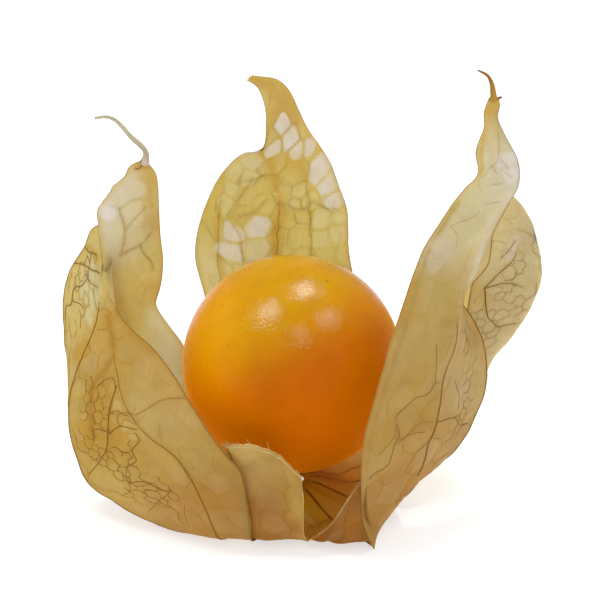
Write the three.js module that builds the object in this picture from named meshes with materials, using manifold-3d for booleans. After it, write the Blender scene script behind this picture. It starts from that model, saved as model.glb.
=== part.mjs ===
// A ripe physalis berry (Cape gooseberry) sitting in its opened papery husk.
// Millimetres, +Z up. The husk is five fused sepals, torn apart into upright flaps; it stands on its own flat base ring.
// Everything is drawn round the berry's upright axis, and the finished group is then set over the middle of its box.
import * as THREE from 'three';
import { mergeVertices } from 'three/addons/utils/BufferGeometryUtils.js';
import Module from 'manifold-3d';

const wasm = await Module();
wasm.setup();

// ---- driving dimensions, mm
const berrySize = { radius: 10.2, sideways: 0.2, centreHeight: 13.6, stalkDimple: 0.7, dimpleSpread: 2.6 };
const stalkSize = { cutHeight: 0.5, cutRadius: 0.75, neckRadius: 0.65, discRadius: 2.1, discHeight: 0.6 };
const husk = {
  thickness: 0.4, // of the solid sheet; the paper itself is thinner
  gap: 0.3, // between neighbouring sepals where they meet round the stalk
  holeRadius: 1.3, // where the stalk comes through
  dimpleHeight: 1.7, // how high the base is drawn in round the stalk
  restingRadius: 7.2, // inner edge of the flat ring that the husk stands on
};
const mesh = { tailSides: 6, tailSteps: 12, berrySides: 32, berrySteps: 20, stalkSides: 24 };

const colours = {
  berrySkin: 0xe08a08,
  frontPaper: 0xc9ac6c,
  backPaper: 0xd6c58c,
  sidePaper: 0xc4a972,
  stalk: 0x8a6a34,
};

// ---- materials
function paper(colour) {
  return new THREE.MeshStandardMaterial({ color: colour, roughness: 0.7, metalness: 0 });
}

function skin() {
  return new THREE.MeshStandardMaterial({ color: colours.berrySkin, roughness: 0.28, metalness: 0 });
}

function dryStalk() {
  return new THREE.MeshStandardMaterial({ color: colours.stalk, roughness: 0.8, metalness: 0 });
}

// ---- the drawn-in base of the husk, shared by all sepals
function baseHeight(radius) {
  const out = THREE.MathUtils.clamp((radius - husk.holeRadius) / (husk.restingRadius - husk.holeRadius), 0, 1);
  return husk.dimpleHeight * (1 + Math.cos(Math.PI * out)) / 2;
}

// Points of one rib from the stalk hole out to the resting ring. edgeSide is +1 or -1 on the rib that bounds the
// sepal clockwise or anticlockwise, and keeps half the gap to the neighbour there.
function baseStations(azimuth, edgeSide) {
  const baseRadii = [husk.holeRadius, 2.6, 4.4, 6.2, husk.restingRadius, 8.8];
  return baseRadii.map((radius) => {
    const angle = THREE.MathUtils.degToRad(azimuth) + edgeSide * husk.gap / 2 / radius;
    return new THREE.Vector3(radius * Math.cos(angle), radius * Math.sin(angle), baseHeight(radius));
  });
}

// One rib or torn edge: it leaves the stalk at an azimuth, crosses the base and climbs through its stations.
function rib(azimuth, edgeSide, stations) {
  const climb = stations.map(([x, y, z]) => new THREE.Vector3(x, y, z));
  return new THREE.CatmullRomCurve3([...baseStations(azimuth, edgeSide), ...climb], false, 'centripetal');
}

// ---- sheet maths
// The outer face of a sheet stretched over its ribs. keel 0 rounds the sheet over the ribs, keel 1 folds it sharply.
// along is the number of steps up a rib, acrossPanel the number between two ribs.
function sheetFace(ribs, { keel, along, acrossPanel }) {
  const panels = ribs.length - 1;
  const across = panels * acrossPanel;
  const rows = [];
  for (let j = 0; j <= along; j += 1) {
    const onRibs = ribs.map((curve) => curve.getPointAt(j / along));
    const rounded = new THREE.CatmullRomCurve3(onRibs, false, 'centripetal');
    const row = [];
    for (let i = 0; i <= across; i += 1) {
      const panel = Math.min(Math.floor(i / acrossPanel), panels - 1);
      const part = i / acrossPanel - panel;
      const folded = onRibs[panel].clone().lerp(onRibs[panel + 1], part);
      const point = rounded.getPoint(i / across).lerp(folded, keel);
      point.z = Math.max(point.z, 0);
      row.push(point);
    }
    rows.push(row);
  }
  return rows;
}

// Unit normals of a face, pointing away from the berry when the ribs run anticlockwise seen from above.
function faceNormals(rows) {
  const last = { j: rows.length - 1, i: rows[0].length - 1 };
  return rows.map((row, j) => row.map((point, i) => {
    const up = rows[Math.min(j + 1, last.j)][i].clone().sub(rows[Math.max(j - 1, 0)][i]);
    const round = row[Math.min(i + 1, last.i)].clone().sub(row[Math.max(i - 1, 0)]);
    return round.cross(up).normalize();
  }));
}

// A closed shell from its outer face and its thickness, laid on the inner side.
function sheetGeometry(rows) {
  const normals = faceNormals(rows);
  const columns = rows[0].length;
  const faceSize = rows.length * columns;
  const positions = [];
  rows.forEach((row) => row.forEach((point) => positions.push(...point.toArray())));
  rows.forEach((row, j) => row.forEach((point, i) => {
    positions.push(...point.clone().addScaledVector(normals[j][i], -husk.thickness).toArray());
  }));
  const index = [];
  const quad = (a, b, c, d) => index.push(a, b, c, a, c, d);
  const at = (j, i) => j * columns + i;
  for (let j = 0; j < rows.length - 1; j += 1) {
    for (let i = 0; i < columns - 1; i += 1) {
      quad(at(j, i), at(j, i + 1), at(j + 1, i + 1), at(j + 1, i));
      const inner = faceSize;
      quad(inner + at(j, i), inner + at(j + 1, i), inner + at(j + 1, i + 1), inner + at(j, i + 1));
    }
  }
  const rim = [];
  for (let i = 0; i < columns - 1; i += 1) rim.push(at(0, i));
  for (let j = 0; j < rows.length - 1; j += 1) rim.push(at(j, columns - 1));
  for (let i = columns - 1; i > 0; i -= 1) rim.push(at(rows.length - 1, i));
  for (let j = rows.length - 1; j > 0; j -= 1) rim.push(at(j, 0));
  rim.forEach((a, k) => {
    const b = rim[(k + 1) % rim.length];
    quad(b, a, faceSize + a, faceSize + b);
  });
  const geometry = new THREE.BufferGeometry();
  geometry.setAttribute('position', new THREE.Float32BufferAttribute(positions, 3));
  geometry.setIndex(index);
  return geometry;
}

// A thin tapering tail, closed at both ends.
function tailGeometry(stations, rootRadius, tipRadius) {
  const curve = new THREE.CatmullRomCurve3(stations.map(([x, y, z]) => new THREE.Vector3(x, y, z)));
  const frames = curve.computeFrenetFrames(mesh.tailSteps, false);
  const positions = [];
  const index = [];
  const sides = mesh.tailSides;
  for (let j = 0; j <= mesh.tailSteps; j += 1) {
    const centre = curve.getPointAt(j / mesh.tailSteps);
    const radius = THREE.MathUtils.lerp(rootRadius, tipRadius, j / mesh.tailSteps);
    for (let i = 0; i < sides; i += 1) {
      const turn = i / sides * Math.PI * 2;
      const point = centre.clone();
      point.addScaledVector(frames.normals[j], radius * Math.cos(turn));
      point.addScaledVector(frames.binormals[j], radius * Math.sin(turn));
      positions.push(...point.toArray());
    }
  }
  for (let j = 0; j < mesh.tailSteps; j += 1) {
    for (let i = 0; i < sides; i += 1) {
      const next = (i + 1) % sides;
      const a = j * sides + i;
      const b = j * sides + next;
      index.push(a, b, b + sides, a, b + sides, a + sides);
    }
  }
  const top = mesh.tailSteps * sides;
  for (let i = 1; i < sides - 1; i += 1) {
    index.push(0, i + 1, i);
    index.push(top, top + i, top + i + 1);
  }
  const geometry = new THREE.BufferGeometry();
  geometry.setAttribute('position', new THREE.Float32BufferAttribute(positions, 3));
  geometry.setIndex(index);
  return geometry;
}

// ---- joining solids
function solid(geometry) {
  const bare = geometry.clone();
  bare.deleteAttribute('normal');
  bare.deleteAttribute('uv');
  const merged = mergeVertices(bare);
  return new wasm.Manifold(new wasm.Mesh({
    numProp: 3,
    vertProperties: merged.attributes.position.array,
    triVerts: new Uint32Array(merged.index.array),
  }));
}

function join(geometries) {
  const whole = geometries.map(solid).reduce((sum, next) => sum.add(next));
  const result = whole.getMesh();
  const geometry = new THREE.BufferGeometry();
  geometry.setAttribute('position', new THREE.Float32BufferAttribute(result.vertProperties, 3));
  geometry.setIndex(Array.from(result.triVerts));
  return geometry;
}

function namedMesh(name, geometry, material) {
  geometry.computeVertexNormals();
  const part = new THREE.Mesh(geometry, material);
  part.name = name;
  return part;
}

// ---- the berry and the cut stalk
function berry() {
  const { radius, sideways, centreHeight, stalkDimple, dimpleSpread } = berrySize;
  const profile = [];
  for (let k = 0; k <= mesh.berrySteps; k += 1) {
    const angle = Math.PI * k / mesh.berrySteps - Math.PI / 2;
    const out = radius * Math.cos(angle);
    const drawnIn = Math.sin(angle) < 0 ? stalkDimple * Math.exp(-((out / dimpleSpread) ** 2)) : 0;
    profile.push(new THREE.Vector2(Math.max(out, 0), radius * Math.sin(angle) + drawnIn));
  }
  profile[0].x = 0;
  profile[mesh.berrySteps].x = 0;
  const geometry = new THREE.LatheGeometry(profile, mesh.berrySides);
  geometry.rotateX(Math.PI / 2);
  geometry.translate(sideways, 0, centreHeight);
  return namedMesh('berry', geometry, skin());
}

// The stub of the stalk: cut off inside the drawn-in base, widening into the disc that carries the berry.
function stalkStub() {
  const { cutHeight, cutRadius, neckRadius, discRadius, discHeight } = stalkSize;
  const seat = berrySize.centreHeight - berrySize.radius + berrySize.stalkDimple - husk.gap;
  const discBottom = husk.dimpleHeight + husk.thickness + husk.gap;
  const profile = [
    new THREE.Vector2(0, cutHeight),
    new THREE.Vector2(cutRadius, cutHeight),
    new THREE.Vector2(neckRadius, (cutHeight + discBottom) / 2),
    new THREE.Vector2(cutRadius, discBottom),
    new THREE.Vector2(discRadius, seat - discHeight),
    new THREE.Vector2(discRadius * 0.8, seat - discHeight / 3),
    new THREE.Vector2(0, seat),
  ];
  const geometry = new THREE.LatheGeometry(profile, mesh.stalkSides);
  geometry.rotateX(Math.PI / 2);
  return namedMesh('stalk_stub', geometry, dryStalk());
}

// ---- the five sepals
// Front left: a wide belly with its edge along the front rib, and a low torn piece in front of the berry.
function frontLeftSepal() {
  const frontRib = [
    [-3.5, -10.9, 1.0], [-3.6, -12.3, 3.5], [-3.9, -13.1, 6.1], [-4.4, -13.1, 8.8], [-5.6, -12.5, 10.0],
    [-7.1, -11.3, 11.6], [-8.8, -9.4, 13.6], [-10.6, -7.4, 16.0], [-12.3, -6.0, 17.7], [-14.2, -4.4, 18.9],
    [-15.7, -2.9, 20.3],
  ];
  const middleRib = [
    [-6.5, -10.8, 1.0], [-7.5, -12.3, 4.4], [-8.8, -12.0, 7.2], [-10.6, -10.8, 9.3], [-12.9, -9.2, 10.6],
    [-14.8, -7.1, 12.4], [-15.7, -5.2, 15.0], [-16.1, -3.6, 17.5], [-16.4, -2.3, 20.5],
  ];
  const sideRib = [
    [-9.6, -8.0, 0.2], [-13.3, -6.9, 1.1], [-15.9, -6.0, 2.2], [-17.8, -5.3, 3.0], [-19.2, -4.2, 4.2],
    [-20.3, -3.0, 7.0], [-20.5, -2.2, 9.4], [-20.1, -1.6, 12.4], [-19.1, -1.5, 15.3], [-17.6, -1.4, 18.8],
    [-17.2, -0.9, 20.8],
  ];
  const backEdge = [
    [-10.8, -4.8, 0.2], [-14.6, -2.6, 1.2], [-17.6, 0.4, 3.4], [-18.9, 2.4, 7.0], [-19.6, 3.2, 10.2],
    [-21.2, 3.6, 12.8], [-21.4, 3.9, 17.0], [-20.6, 4.3, 21.0], [-19.0, 4.3, 23.7], [-18.7, 4.2, 24.6],
    [-18.4, 4.2, 25.3], [-17.9, 4.1, 25.8], [-17.2, 3.9, 26.0],
  ];
  const main = sheetFace([
    rib(207, 1, backEdge), rib(218, 0, sideRib), rib(237, 0, middleRib), rib(251, 0, frontRib),
  ], { keel: 0.45, along: 30, acrossPanel: 4 });
  const torn = sheetFace([
    rib(249, 0, [[-3.9, -10.4, 1.0], [-4.2, -12.4, 5.6], [-5.4, -12.2, 10.2], [-6.0, -11.9, 10.8]]),
    rib(258, 0, [[-2.3, -11.0, 0.9], [-2.4, -13.0, 5.4], [-2.7, -13.0, 9.4], [-3.2, -12.9, 11.3]]),
    rib(268, 0, [[-0.4, -11.1, 1.0], [-0.3, -13.3, 5.2], [-0.5, -13.2, 8.6], [-0.8, -13.1, 10.2]]),
    rib(277, -1, [[1.4, -11.2, 0.8], [1.2, -12.5, 3.0], [1.2, -13.2, 5.6], [1.0, -13.1, 8.4]]),
  ], { keel: 0.1, along: 16, acrossPanel: 3 });
  return namedMesh('sepal_front_left', join([sheetGeometry(main), sheetGeometry(torn)]), paper(colours.frontPaper));
}

// Back left: a narrow tongue that shows its inner face, ending in a long thread.
function backLeftSepal() {
  const backEdge = [
    [-7.7, 8.1, 0.9], [-9.1, 9.3, 4.5], [-10.2, 7.8, 9.0], [-10.2, 6.6, 12.5], [-11.3, 6.0, 14.6],
    [-12.7, 5.2, 17.5], [-12.2, 4.8, 19.4], [-11.9, 4.4, 22.0], [-12.1, 3.8, 25.7], [-12.1, 3.0, 30.2],
    [-12.3, 2.6, 31.5], [-12.9, 2.2, 32.5],
  ];
  const middleRib = [
    [-11.0, 2.4, 0.8], [-13.6, 3.4, 4.6], [-14.8, 3.8, 9.0], [-15.0, 3.8, 14.0], [-15.2, 3.1, 20.0],
    [-14.8, 2.8, 24.0], [-14.7, 2.5, 28.0], [-14.0, 2.2, 31.2], [-13.2, 2.0, 33.0],
  ];
  const frontEdge = [
    [-10.7, -3.4, 0.9], [-13.2, -2.0, 4.5], [-14.8, -1.2, 9.0], [-15.8, -0.9, 14.0], [-16.6, -0.6, 19.0],
    [-17.0, 0.0, 23.4], [-17.5, 0.7, 26.8], [-17.4, 1.0, 28.6], [-16.7, 1.1, 29.5], [-16.3, 1.3, 30.3],
    [-15.2, 1.6, 31.6], [-14.3, 1.8, 32.5], [-13.5, 1.9, 33.1],
  ];
  const tongue = sheetFace([
    rib(133, 1, backEdge), rib(170, 0, middleRib), rib(205, -1, frontEdge),
  ], { keel: 0.1, along: 28, acrossPanel: 4 });
  const thread = tailGeometry([
    [-13.2, 2.1, 32.0], [-13.1, 1.8, 33.8], [-14.4, 1.2, 35.5], [-15.7, 0.4, 37.3], [-16.5, 0.1, 37.7],
    [-17.5, 0.0, 37.6],
  ], 0.45, 0.16);
  return namedMesh('sepal_back_left', join([sheetGeometry(tongue), thread]), paper(colours.backPaper));
}

// Back: a broad upright lobe with a narrow bent beak.
function backSepal() {
  const rightEdge = [
    [5.2, 9.9, 0.9], [6.1, 11.8, 4.5], [6.7, 12.0, 10.5], [6.3, 12.2, 15.5], [5.6, 12.6, 20.4], [5.4, 12.9, 23.8],
    [4.6, 13.1, 26.4], [3.9, 13.3, 28.7], [2.7, 13.4, 30.7], [1.7, 13.4, 32.2], [0.7, 13.2, 34.2],
    [-0.1, 12.8, 36.2], [-1.2, 12.5, 37.3], [-3.6, 12.2, 37.8],
  ];
  const rightRib = [
    [2.7, 11.2, 1.0], [3.2, 13.2, 6.0], [3.0, 14.0, 13.0], [2.6, 14.3, 20.0], [2.2, 14.3, 26.0],
    [0.8, 13.8, 31.0], [-0.4, 13.2, 35.0], [-1.8, 12.5, 37.0], [-3.8, 12.2, 37.7],
  ];
  const middleRib = [
    [-1.2, 11.5, 1.0], [-1.1, 13.5, 6.0], [-1.2, 14.4, 13.0], [-1.3, 14.8, 20.0], [-1.4, 14.6, 26.0],
    [-0.8, 14.0, 31.0], [-1.3, 13.2, 34.8], [-2.5, 12.6, 36.9], [-3.9, 12.2, 37.6],
  ];
  const leftRib = [
    [-4.8, 10.4, 1.0], [-5.4, 12.4, 6.0], [-5.5, 13.4, 13.0], [-6.0, 13.8, 20.0], [-4.9, 13.9, 26.0],
    [-2.7, 13.7, 29.9], [-1.9, 13.2, 33.6], [-2.9, 12.6, 36.6], [-3.9, 12.2, 37.5],
  ];
  const leftEdge = [
    [-7.4, 8.4, 0.9], [-8.5, 9.9, 4.5], [-8.0, 11.6, 10.5], [-8.2, 12.2, 15.0], [-9.2, 12.8, 19.4],
    [-8.9, 13.0, 22.0], [-7.8, 13.2, 25.2], [-6.2, 13.3, 28.2], [-4.5, 13.4, 29.8], [-2.7, 13.4, 30.2],
    [-2.3, 13.2, 32.4], [-2.4, 13.0, 34.6], [-3.1, 12.5, 36.6], [-4.1, 12.2, 37.4],
  ];
  const lobe = sheetFace([
    rib(61, 1, rightEdge), rib(79, 0, rightRib), rib(97, 0, middleRib), rib(115, 0, leftRib), rib(133, -1, leftEdge),
  ], { keel: 0.3, along: 32, acrossPanel: 3 });
  return namedMesh('sepal_back', sheetGeometry(lobe), paper(colours.backPaper));
}

// Back right: a bulging flap that leans out behind the front right one.
function backRightSepal() {
  const frontEdge = [
    [10.8, -2.3, 0.9], [13.3, -0.8, 3.8], [15.9, 0.8, 8.0], [16.8, 1.6, 12.5], [16.5, 2.0, 18.0],
    [17.2, 2.0, 22.0], [18.2, 1.8, 26.0], [20.1, 1.4, 29.0],
  ];
  const bulge = [
    [11.2, 1.2, 0.8], [14.8, 2.6, 3.6], [17.4, 3.3, 8.0], [18.9, 3.2, 12.4], [20.5, 3.0, 14.8], [22.1, 3.2, 17.2],
    [23.3, 3.6, 19.8], [23.5, 3.9, 22.6], [22.8, 3.6, 25.8], [21.4, 2.8, 28.1], [20.4, 2.2, 29.3],
  ];
  const sideRib = [
    [10.6, 4.6, 0.8], [13.8, 6.6, 4.0], [16.2, 7.6, 9.0], [17.8, 7.6, 14.0], [19.8, 7.4, 18.5], [20.6, 6.4, 23.0],
    [20.4, 4.6, 27.0], [20.3, 2.8, 29.4],
  ];
  const innerRib = [
    [8.9, 7.4, 0.8], [11.2, 9.6, 4.0], [13.0, 11.2, 9.0], [14.6, 11.4, 14.0], [16.4, 10.2, 19.0], [17.9, 8.0, 24.0],
    [19.2, 5.2, 27.6], [20.2, 3.2, 29.6],
  ];
  const backEdge = [
    [5.8, 9.7, 0.9], [6.9, 11.5, 4.5], [9.6, 13.2, 10.0], [11.8, 13.0, 15.0], [14.2, 11.4, 20.2], [16.9, 8.2, 25.0],
    [18.9, 5.0, 28.4], [20.1, 3.5, 29.8],
  ];
  const flap = sheetFace([
    rib(-11, 1, frontEdge), rib(5, 0, bulge), rib(24, 0, sideRib), rib(43, 0, innerRib), rib(61, -1, backEdge),
  ], { keel: 0.15, along: 26, acrossPanel: 3 });
  return namedMesh('sepal_back_right', sheetGeometry(flap), paper(colours.sidePaper));
}

// Front right: the tall twisted flap with a keel down its front, a low piece beside it and a hooked tip.
function frontRightSepal() {
  const keelRib = [
    [6.2, -8.6, 0.0], [7.7, -11.0, 0.0], [7.5, -11.7, 0.9], [6.7, -12.8, 3.8], [6.5, -13.6, 6.6], [6.5, -13.7, 9.0],
    [6.7, -13.2, 12.0], [7.5, -12.0, 15.2], [8.8, -10.0, 19.0], [10.3, -7.8, 23.1], [12.1, -5.7, 27.3],
    [13.7, -4.6, 29.6], [15.6, -3.4, 32.0], [16.8, -2.7, 33.2], [16.6, -2.4, 35.2], [17.3, -1.9, 37.4],
    [17.3, -1.8, 38.7], [17.7, -1.6, 40.0],
  ];
  const middleRib = [
    [8.1, -8.0, 0.6], [9.7, -9.5, 3.2], [11.5, -9.0, 6.2], [13.1, -8.5, 10.1], [14.0, -7.4, 14.6],
    [14.8, -5.9, 18.6], [15.5, -4.4, 23.0], [17.0, -3.1, 27.2], [18.4, -2.2, 31.4], [18.3, -1.8, 36.0],
    [18.1, -1.5, 40.0],
  ];
  const sideEdge = [
    [9.9, -3.3, 0.7], [10.9, -5.3, 3.0], [12.4, -5.0, 5.0], [14.9, -3.6, 6.3], [17.0, -2.4, 9.0],
    [18.1, -1.5, 12.8], [17.7, -0.8, 16.4], [16.4, -0.4, 19.2], [15.8, -0.3, 20.6], [16.9, -0.4, 21.9],
    [18.1, -0.5, 23.8], [18.4, -0.7, 27.0], [19.8, -1.0, 30.1], [20.6, -1.0, 31.9], [20.4, -1.0, 34.0],
    [19.1, -1.2, 36.5], [18.5, -1.4, 38.2], [18.7, -1.4, 39.3], [18.6, -1.4, 40.0],
  ];
  const main = sheetFace([
    rib(306, 0, keelRib), rib(327, 0, middleRib), rib(349, -1, sideEdge),
  ], { keel: 0.35, along: 34, acrossPanel: 5 });
  const low = sheetFace([
    rib(277, 1, [[1.7, -11.2, 0.8], [1.8, -11.4, 1.1]]),
    rib(287, 0, [[3.3, -11.5, 1.0], [3.7, -12.4, 3.3]]),
    rib(297, 0, [[4.9, -11.4, 0.8], [5.0, -12.6, 3.4], [5.3, -13.2, 6.5]]),
    rib(308, 0, [[6.4, -8.4, 0.1], [7.5, -10.2, 0.3], [7.3, -11.8, 2.8], [6.9, -13.2, 6.4], [6.9, -13.2, 8.6]]),
  ], { keel: 0.1, along: 16, acrossPanel: 3 });
  const hook = tailGeometry([
    [18.1, -1.5, 39.0], [18.0, -1.7, 40.6], [17.9, -1.8, 41.4], [17.5, -2.0, 42.2], [16.6, -2.3, 42.8],
  ], 0.42, 0.15);
  const whole = join([sheetGeometry(main), sheetGeometry(low), hook]);
  return namedMesh('sepal_front_right', whole, paper(colours.frontPaper));
}

// ---- the whole, standing with the middle of its box over the origin
function physalis() {
  const inner = new THREE.Group();
  inner.add(
    berry(), stalkStub(), frontLeftSepal(), backLeftSepal(), backSepal(), backRightSepal(), frontRightSepal(),
  );
  const box = new THREE.Box3().setFromObject(inner);
  const middle = box.getCenter(new THREE.Vector3());
  inner.position.set(-middle.x, -middle.y, -box.min.z);
  const outer = new THREE.Group();
  outer.add(inner);
  return outer;
}

export default physalis();
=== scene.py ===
# %% [markdown]
# # A physalis berry in its opened husk
# The real thing is a ripe, glossy berry on a short stalk, inside a husk of five sepals that have dried to
# thin, see-through paper. The husk has torn open, and its flaps stand up round the berry.
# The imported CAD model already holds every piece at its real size. This lesson dresses it: the berry gets a
# skin with pores, and each sepal becomes a thin sheet with ribs, a net of veins, torn edges and stains.

# %% Load the frame
import math

import bpy
import numpy as np
from mathutils import Matrix, Vector, kdtree
from mathutils.geometry import delaunay_2d_cdt


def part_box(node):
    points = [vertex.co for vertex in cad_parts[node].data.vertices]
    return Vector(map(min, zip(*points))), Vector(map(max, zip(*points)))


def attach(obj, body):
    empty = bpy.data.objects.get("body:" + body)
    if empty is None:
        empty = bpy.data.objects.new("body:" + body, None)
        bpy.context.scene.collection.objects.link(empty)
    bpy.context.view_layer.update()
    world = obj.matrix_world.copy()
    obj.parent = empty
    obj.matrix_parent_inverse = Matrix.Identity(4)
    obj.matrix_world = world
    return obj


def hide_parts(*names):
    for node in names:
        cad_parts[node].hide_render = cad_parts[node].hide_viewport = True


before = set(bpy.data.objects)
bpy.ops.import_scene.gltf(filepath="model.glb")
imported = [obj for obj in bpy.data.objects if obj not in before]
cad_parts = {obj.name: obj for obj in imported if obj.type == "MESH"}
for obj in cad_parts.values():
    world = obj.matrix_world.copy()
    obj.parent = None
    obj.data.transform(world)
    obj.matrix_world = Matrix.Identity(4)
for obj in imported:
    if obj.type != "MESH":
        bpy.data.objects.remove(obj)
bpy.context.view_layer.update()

MM = 0.001

# %% [markdown]
# ## Where everything is measured from
# The husk is drawn round the stalk's upright axis, in millimetres. The berry's own box says where that axis
# stands in the frame, so every place below is a plain number in millimetres from the axis, and one shift
# takes it to the frame. Metres from the frame's origin would do as well, but they are harder to read and to
# change by hand.

# %% The berry's axis
BERRY_SIDEWAYS = 0.2
berry_low, berry_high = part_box("berry")
BERRY_RADIUS = (berry_high.x - berry_low.x) / 2
berry_centre = Vector(((berry_low.x + berry_high.x) / 2, (berry_low.y + berry_high.y) / 2,
                       berry_high.z - BERRY_RADIUS))
husk_origin = np.array([berry_centre.x / MM - BERRY_SIDEWAYS, berry_centre.y / MM, 0.0])
print("axis in the frame, mm:", husk_origin.round(2), "berry radius, mm:", round(BERRY_RADIUS / MM, 2))

# %% [markdown]
# ## The camera
# A long lens from a quarter of a metre looks a little down on the fruit, as if it stood on a table. A
# shorter lens would have to come closer, and the flaps in front would grow too large beside the one behind.

# %% Camera
LOOK_DOWN = math.radians(22)
CAMERA_DISTANCE = 0.25
LENS = 161.25
SENSOR = 36
AIM = Vector((0.73, 2.265, 5.506))  # from the middle of the berry, in mm


def add_object(name, data):
    """An object with the given data, linked to the scene."""
    thing = bpy.data.objects.new(name, data)
    bpy.context.scene.collection.objects.link(thing)
    return thing


camera_data = bpy.data.cameras.new("camera")
camera_data.lens = LENS
camera_data.sensor_width = SENSOR
camera = add_object("camera", camera_data)
backward = Vector((0, -math.cos(LOOK_DOWN), math.sin(LOOK_DOWN)))
camera.location = berry_centre + AIM * MM + backward * CAMERA_DISTANCE
camera.rotation_euler = (math.pi / 2 - LOOK_DOWN, 0, 0)
bpy.context.scene.camera = camera
print("camera at, mm:", [round(v / MM, 1) for v in camera.location])

# %% [markdown]
# ## Lamps
# Four small lamps hang overhead. They give little light: they are there because the glossy skin mirrors
# them as four pale patches, which show how round and how smooth the berry is. The patches are long ovals
# that all lean the same way, so each lamp is an ellipse with its long side turned to one direction.

# %% Lamps
LAMP_DISTANCE = 0.6
LONG_SIDE = Vector((math.cos(math.radians(35)), math.sin(math.radians(35)), 0))
LAMPS = [
    # direction, power in watts, length and width in metres
    ((0.16, 0.31, 0.94), 0.72, (0.2, 0.065)),
    ((-0.36, -0.11, 0.92), 0.75, (0.21, 0.08)),
    ((0.54, -0.12, 0.83), 0.32, (0.19, 0.07)),
    ((0.13, -0.57, 0.81), 0.22, (0.15, 0.06)),
]
for number, (direction, watts, (length, width)) in enumerate(LAMPS):
    lamp_data = bpy.data.lights.new(f"lamp_{number}", "AREA")
    lamp_data.shape = "ELLIPSE"
    lamp_data.size = length
    lamp_data.size_y = width
    lamp_data.energy = watts
    lamp = add_object(f"lamp_{number}", lamp_data)
    toward = Vector(direction).normalized()
    across = (LONG_SIDE - toward * LONG_SIDE.dot(toward)).normalized()
    lamp.location = berry_centre + toward * LAMP_DISTANCE
    lamp.rotation_euler = Matrix((across, toward.cross(across), toward)).transposed().to_euler()
print("lamps:", len(LAMPS))

# %% [markdown]
# ## Small helpers for node trees
# A world, a material and a geometry tree are all node trees. These helpers keep them short to write: one
# feeds a socket, one fills several sockets of a node by their names, and one adds a node with its settings
# and inputs.

# %% Node helpers
def feed(tree, value, socket):
    """Joins an output to a socket, or sets the socket to a plain value."""
    if isinstance(value, bpy.types.NodeSocket):
        tree.links.new(value, socket)
    else:
        socket.default_value = value


def fill(tree, node, **inputs):
    """Feeds a node's sockets by their names, with _ for a space."""
    for name, value in inputs.items():
        feed(tree, value, node.inputs[name.replace("_", " ")])


def add_node(tree, kind, settings=(), **inputs):
    """Adds a node. settings are its own fields, and inputs are what its sockets get."""
    node = tree.nodes.new(kind)
    for field, value in dict(settings).items():
        setattr(node, field, value)
    fill(tree, node, **inputs)
    return node


# %% [markdown]
# ## The white tent
# Most of the light is soft and comes from all round, as in a tent of white cloth. A smooth skin would
# mirror all that white as a pale veil over its own colour, while a real tent has dim seams and an opening.
# So rays that come off a glossy surface see a dimmer tent, and all other rays see the full light. More
# lamps could light the fruit instead, but each would add a bright patch of its own.

# %% White tent
WHITE = (1, 1, 1, 1)
TENT_LIGHT = 0.63
MIRRORED_TENT = 0.2


def mirrored(tree, output_name, plain, glossy):
    """Shows the second shader to glossy rays and the first one to all others."""
    either = add_node(tree, "ShaderNodeMixShader")
    rays = add_node(tree, "ShaderNodeLightPath")
    for number, value in enumerate((rays.outputs["Is Glossy Ray"], plain.outputs[0], glossy.outputs[0])):
        feed(tree, value, either.inputs[number])
    fill(tree, tree.nodes[output_name], Surface=either.outputs[0])


world = bpy.data.worlds.new("white_tent")
world.use_nodes = True
bpy.context.scene.world = world
bpy.context.scene.view_settings.view_transform = "Standard"
tent = world.node_tree.nodes["Background"]
fill(world.node_tree, tent, Color=WHITE, Strength=TENT_LIGHT)
dim_tent = add_node(world.node_tree, "ShaderNodeBackground", Color=WHITE, Strength=MIRRORED_TENT)
mirrored(world.node_tree, "World Output", tent, dim_tent)
print("tent:", TENT_LIGHT, "and for glossy rays", MIRRORED_TENT)

# %% [markdown]
# ## The floor
# The fruit stands on a plain pale board, which throws light up into the husk. The board glows a little
# itself, so that it stays white without brighter lamps. Glossy rays see it without that glow, as they see a
# dimmer tent.

# %% Floor
FLOOR_SIDE = 3.0
FLOOR_GREY = (0.62, 0.62, 0.62, 1)
FLOOR_GLOW = 0.6


def new_material(name):
    """A new material, its node tree and its shader."""
    material = bpy.data.materials.new(name)
    material.use_nodes = True
    return material, material.node_tree, material.node_tree.nodes["Principled BSDF"]


floor_material, tree, shader = new_material("white_floor")
fill(tree, shader, Base_Color=FLOOR_GREY, Emission_Color=WHITE, Emission_Strength=FLOOR_GLOW, Roughness=0.9,
     Specular_IOR_Level=0.1)
matt = add_node(tree, "ShaderNodeBsdfDiffuse", Color=FLOOR_GREY)
mirrored(tree, "Material Output", shader, matt)
bpy.ops.mesh.primitive_plane_add(size=FLOOR_SIDE, location=(0, 0, 0))
floor = bpy.context.object
floor.name = "floor"
floor.data.materials.append(floor_material)
print("floor:", FLOOR_SIDE, "m square")

# %% [markdown]
# ## Smooth lines through a few points
# A sepal is a sheet stretched over ribs, and each rib is a smooth line through a few given points.
# The line is a Catmull-Rom spline: it passes through every point, and the spacing of the points sets how
# tightly it bends. A Bezier curve would need two handles for each point, which is more to choose and easier
# to get wrong.

# %% Lines
NO_SPAN = 1e-4         # a span shorter than this has no direction of its own
STEPS_TO_SPACE = 60    # steps for each point of a line, to space it evenly
STEPS_TO_MEASURE = 20  # and to measure its length


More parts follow.
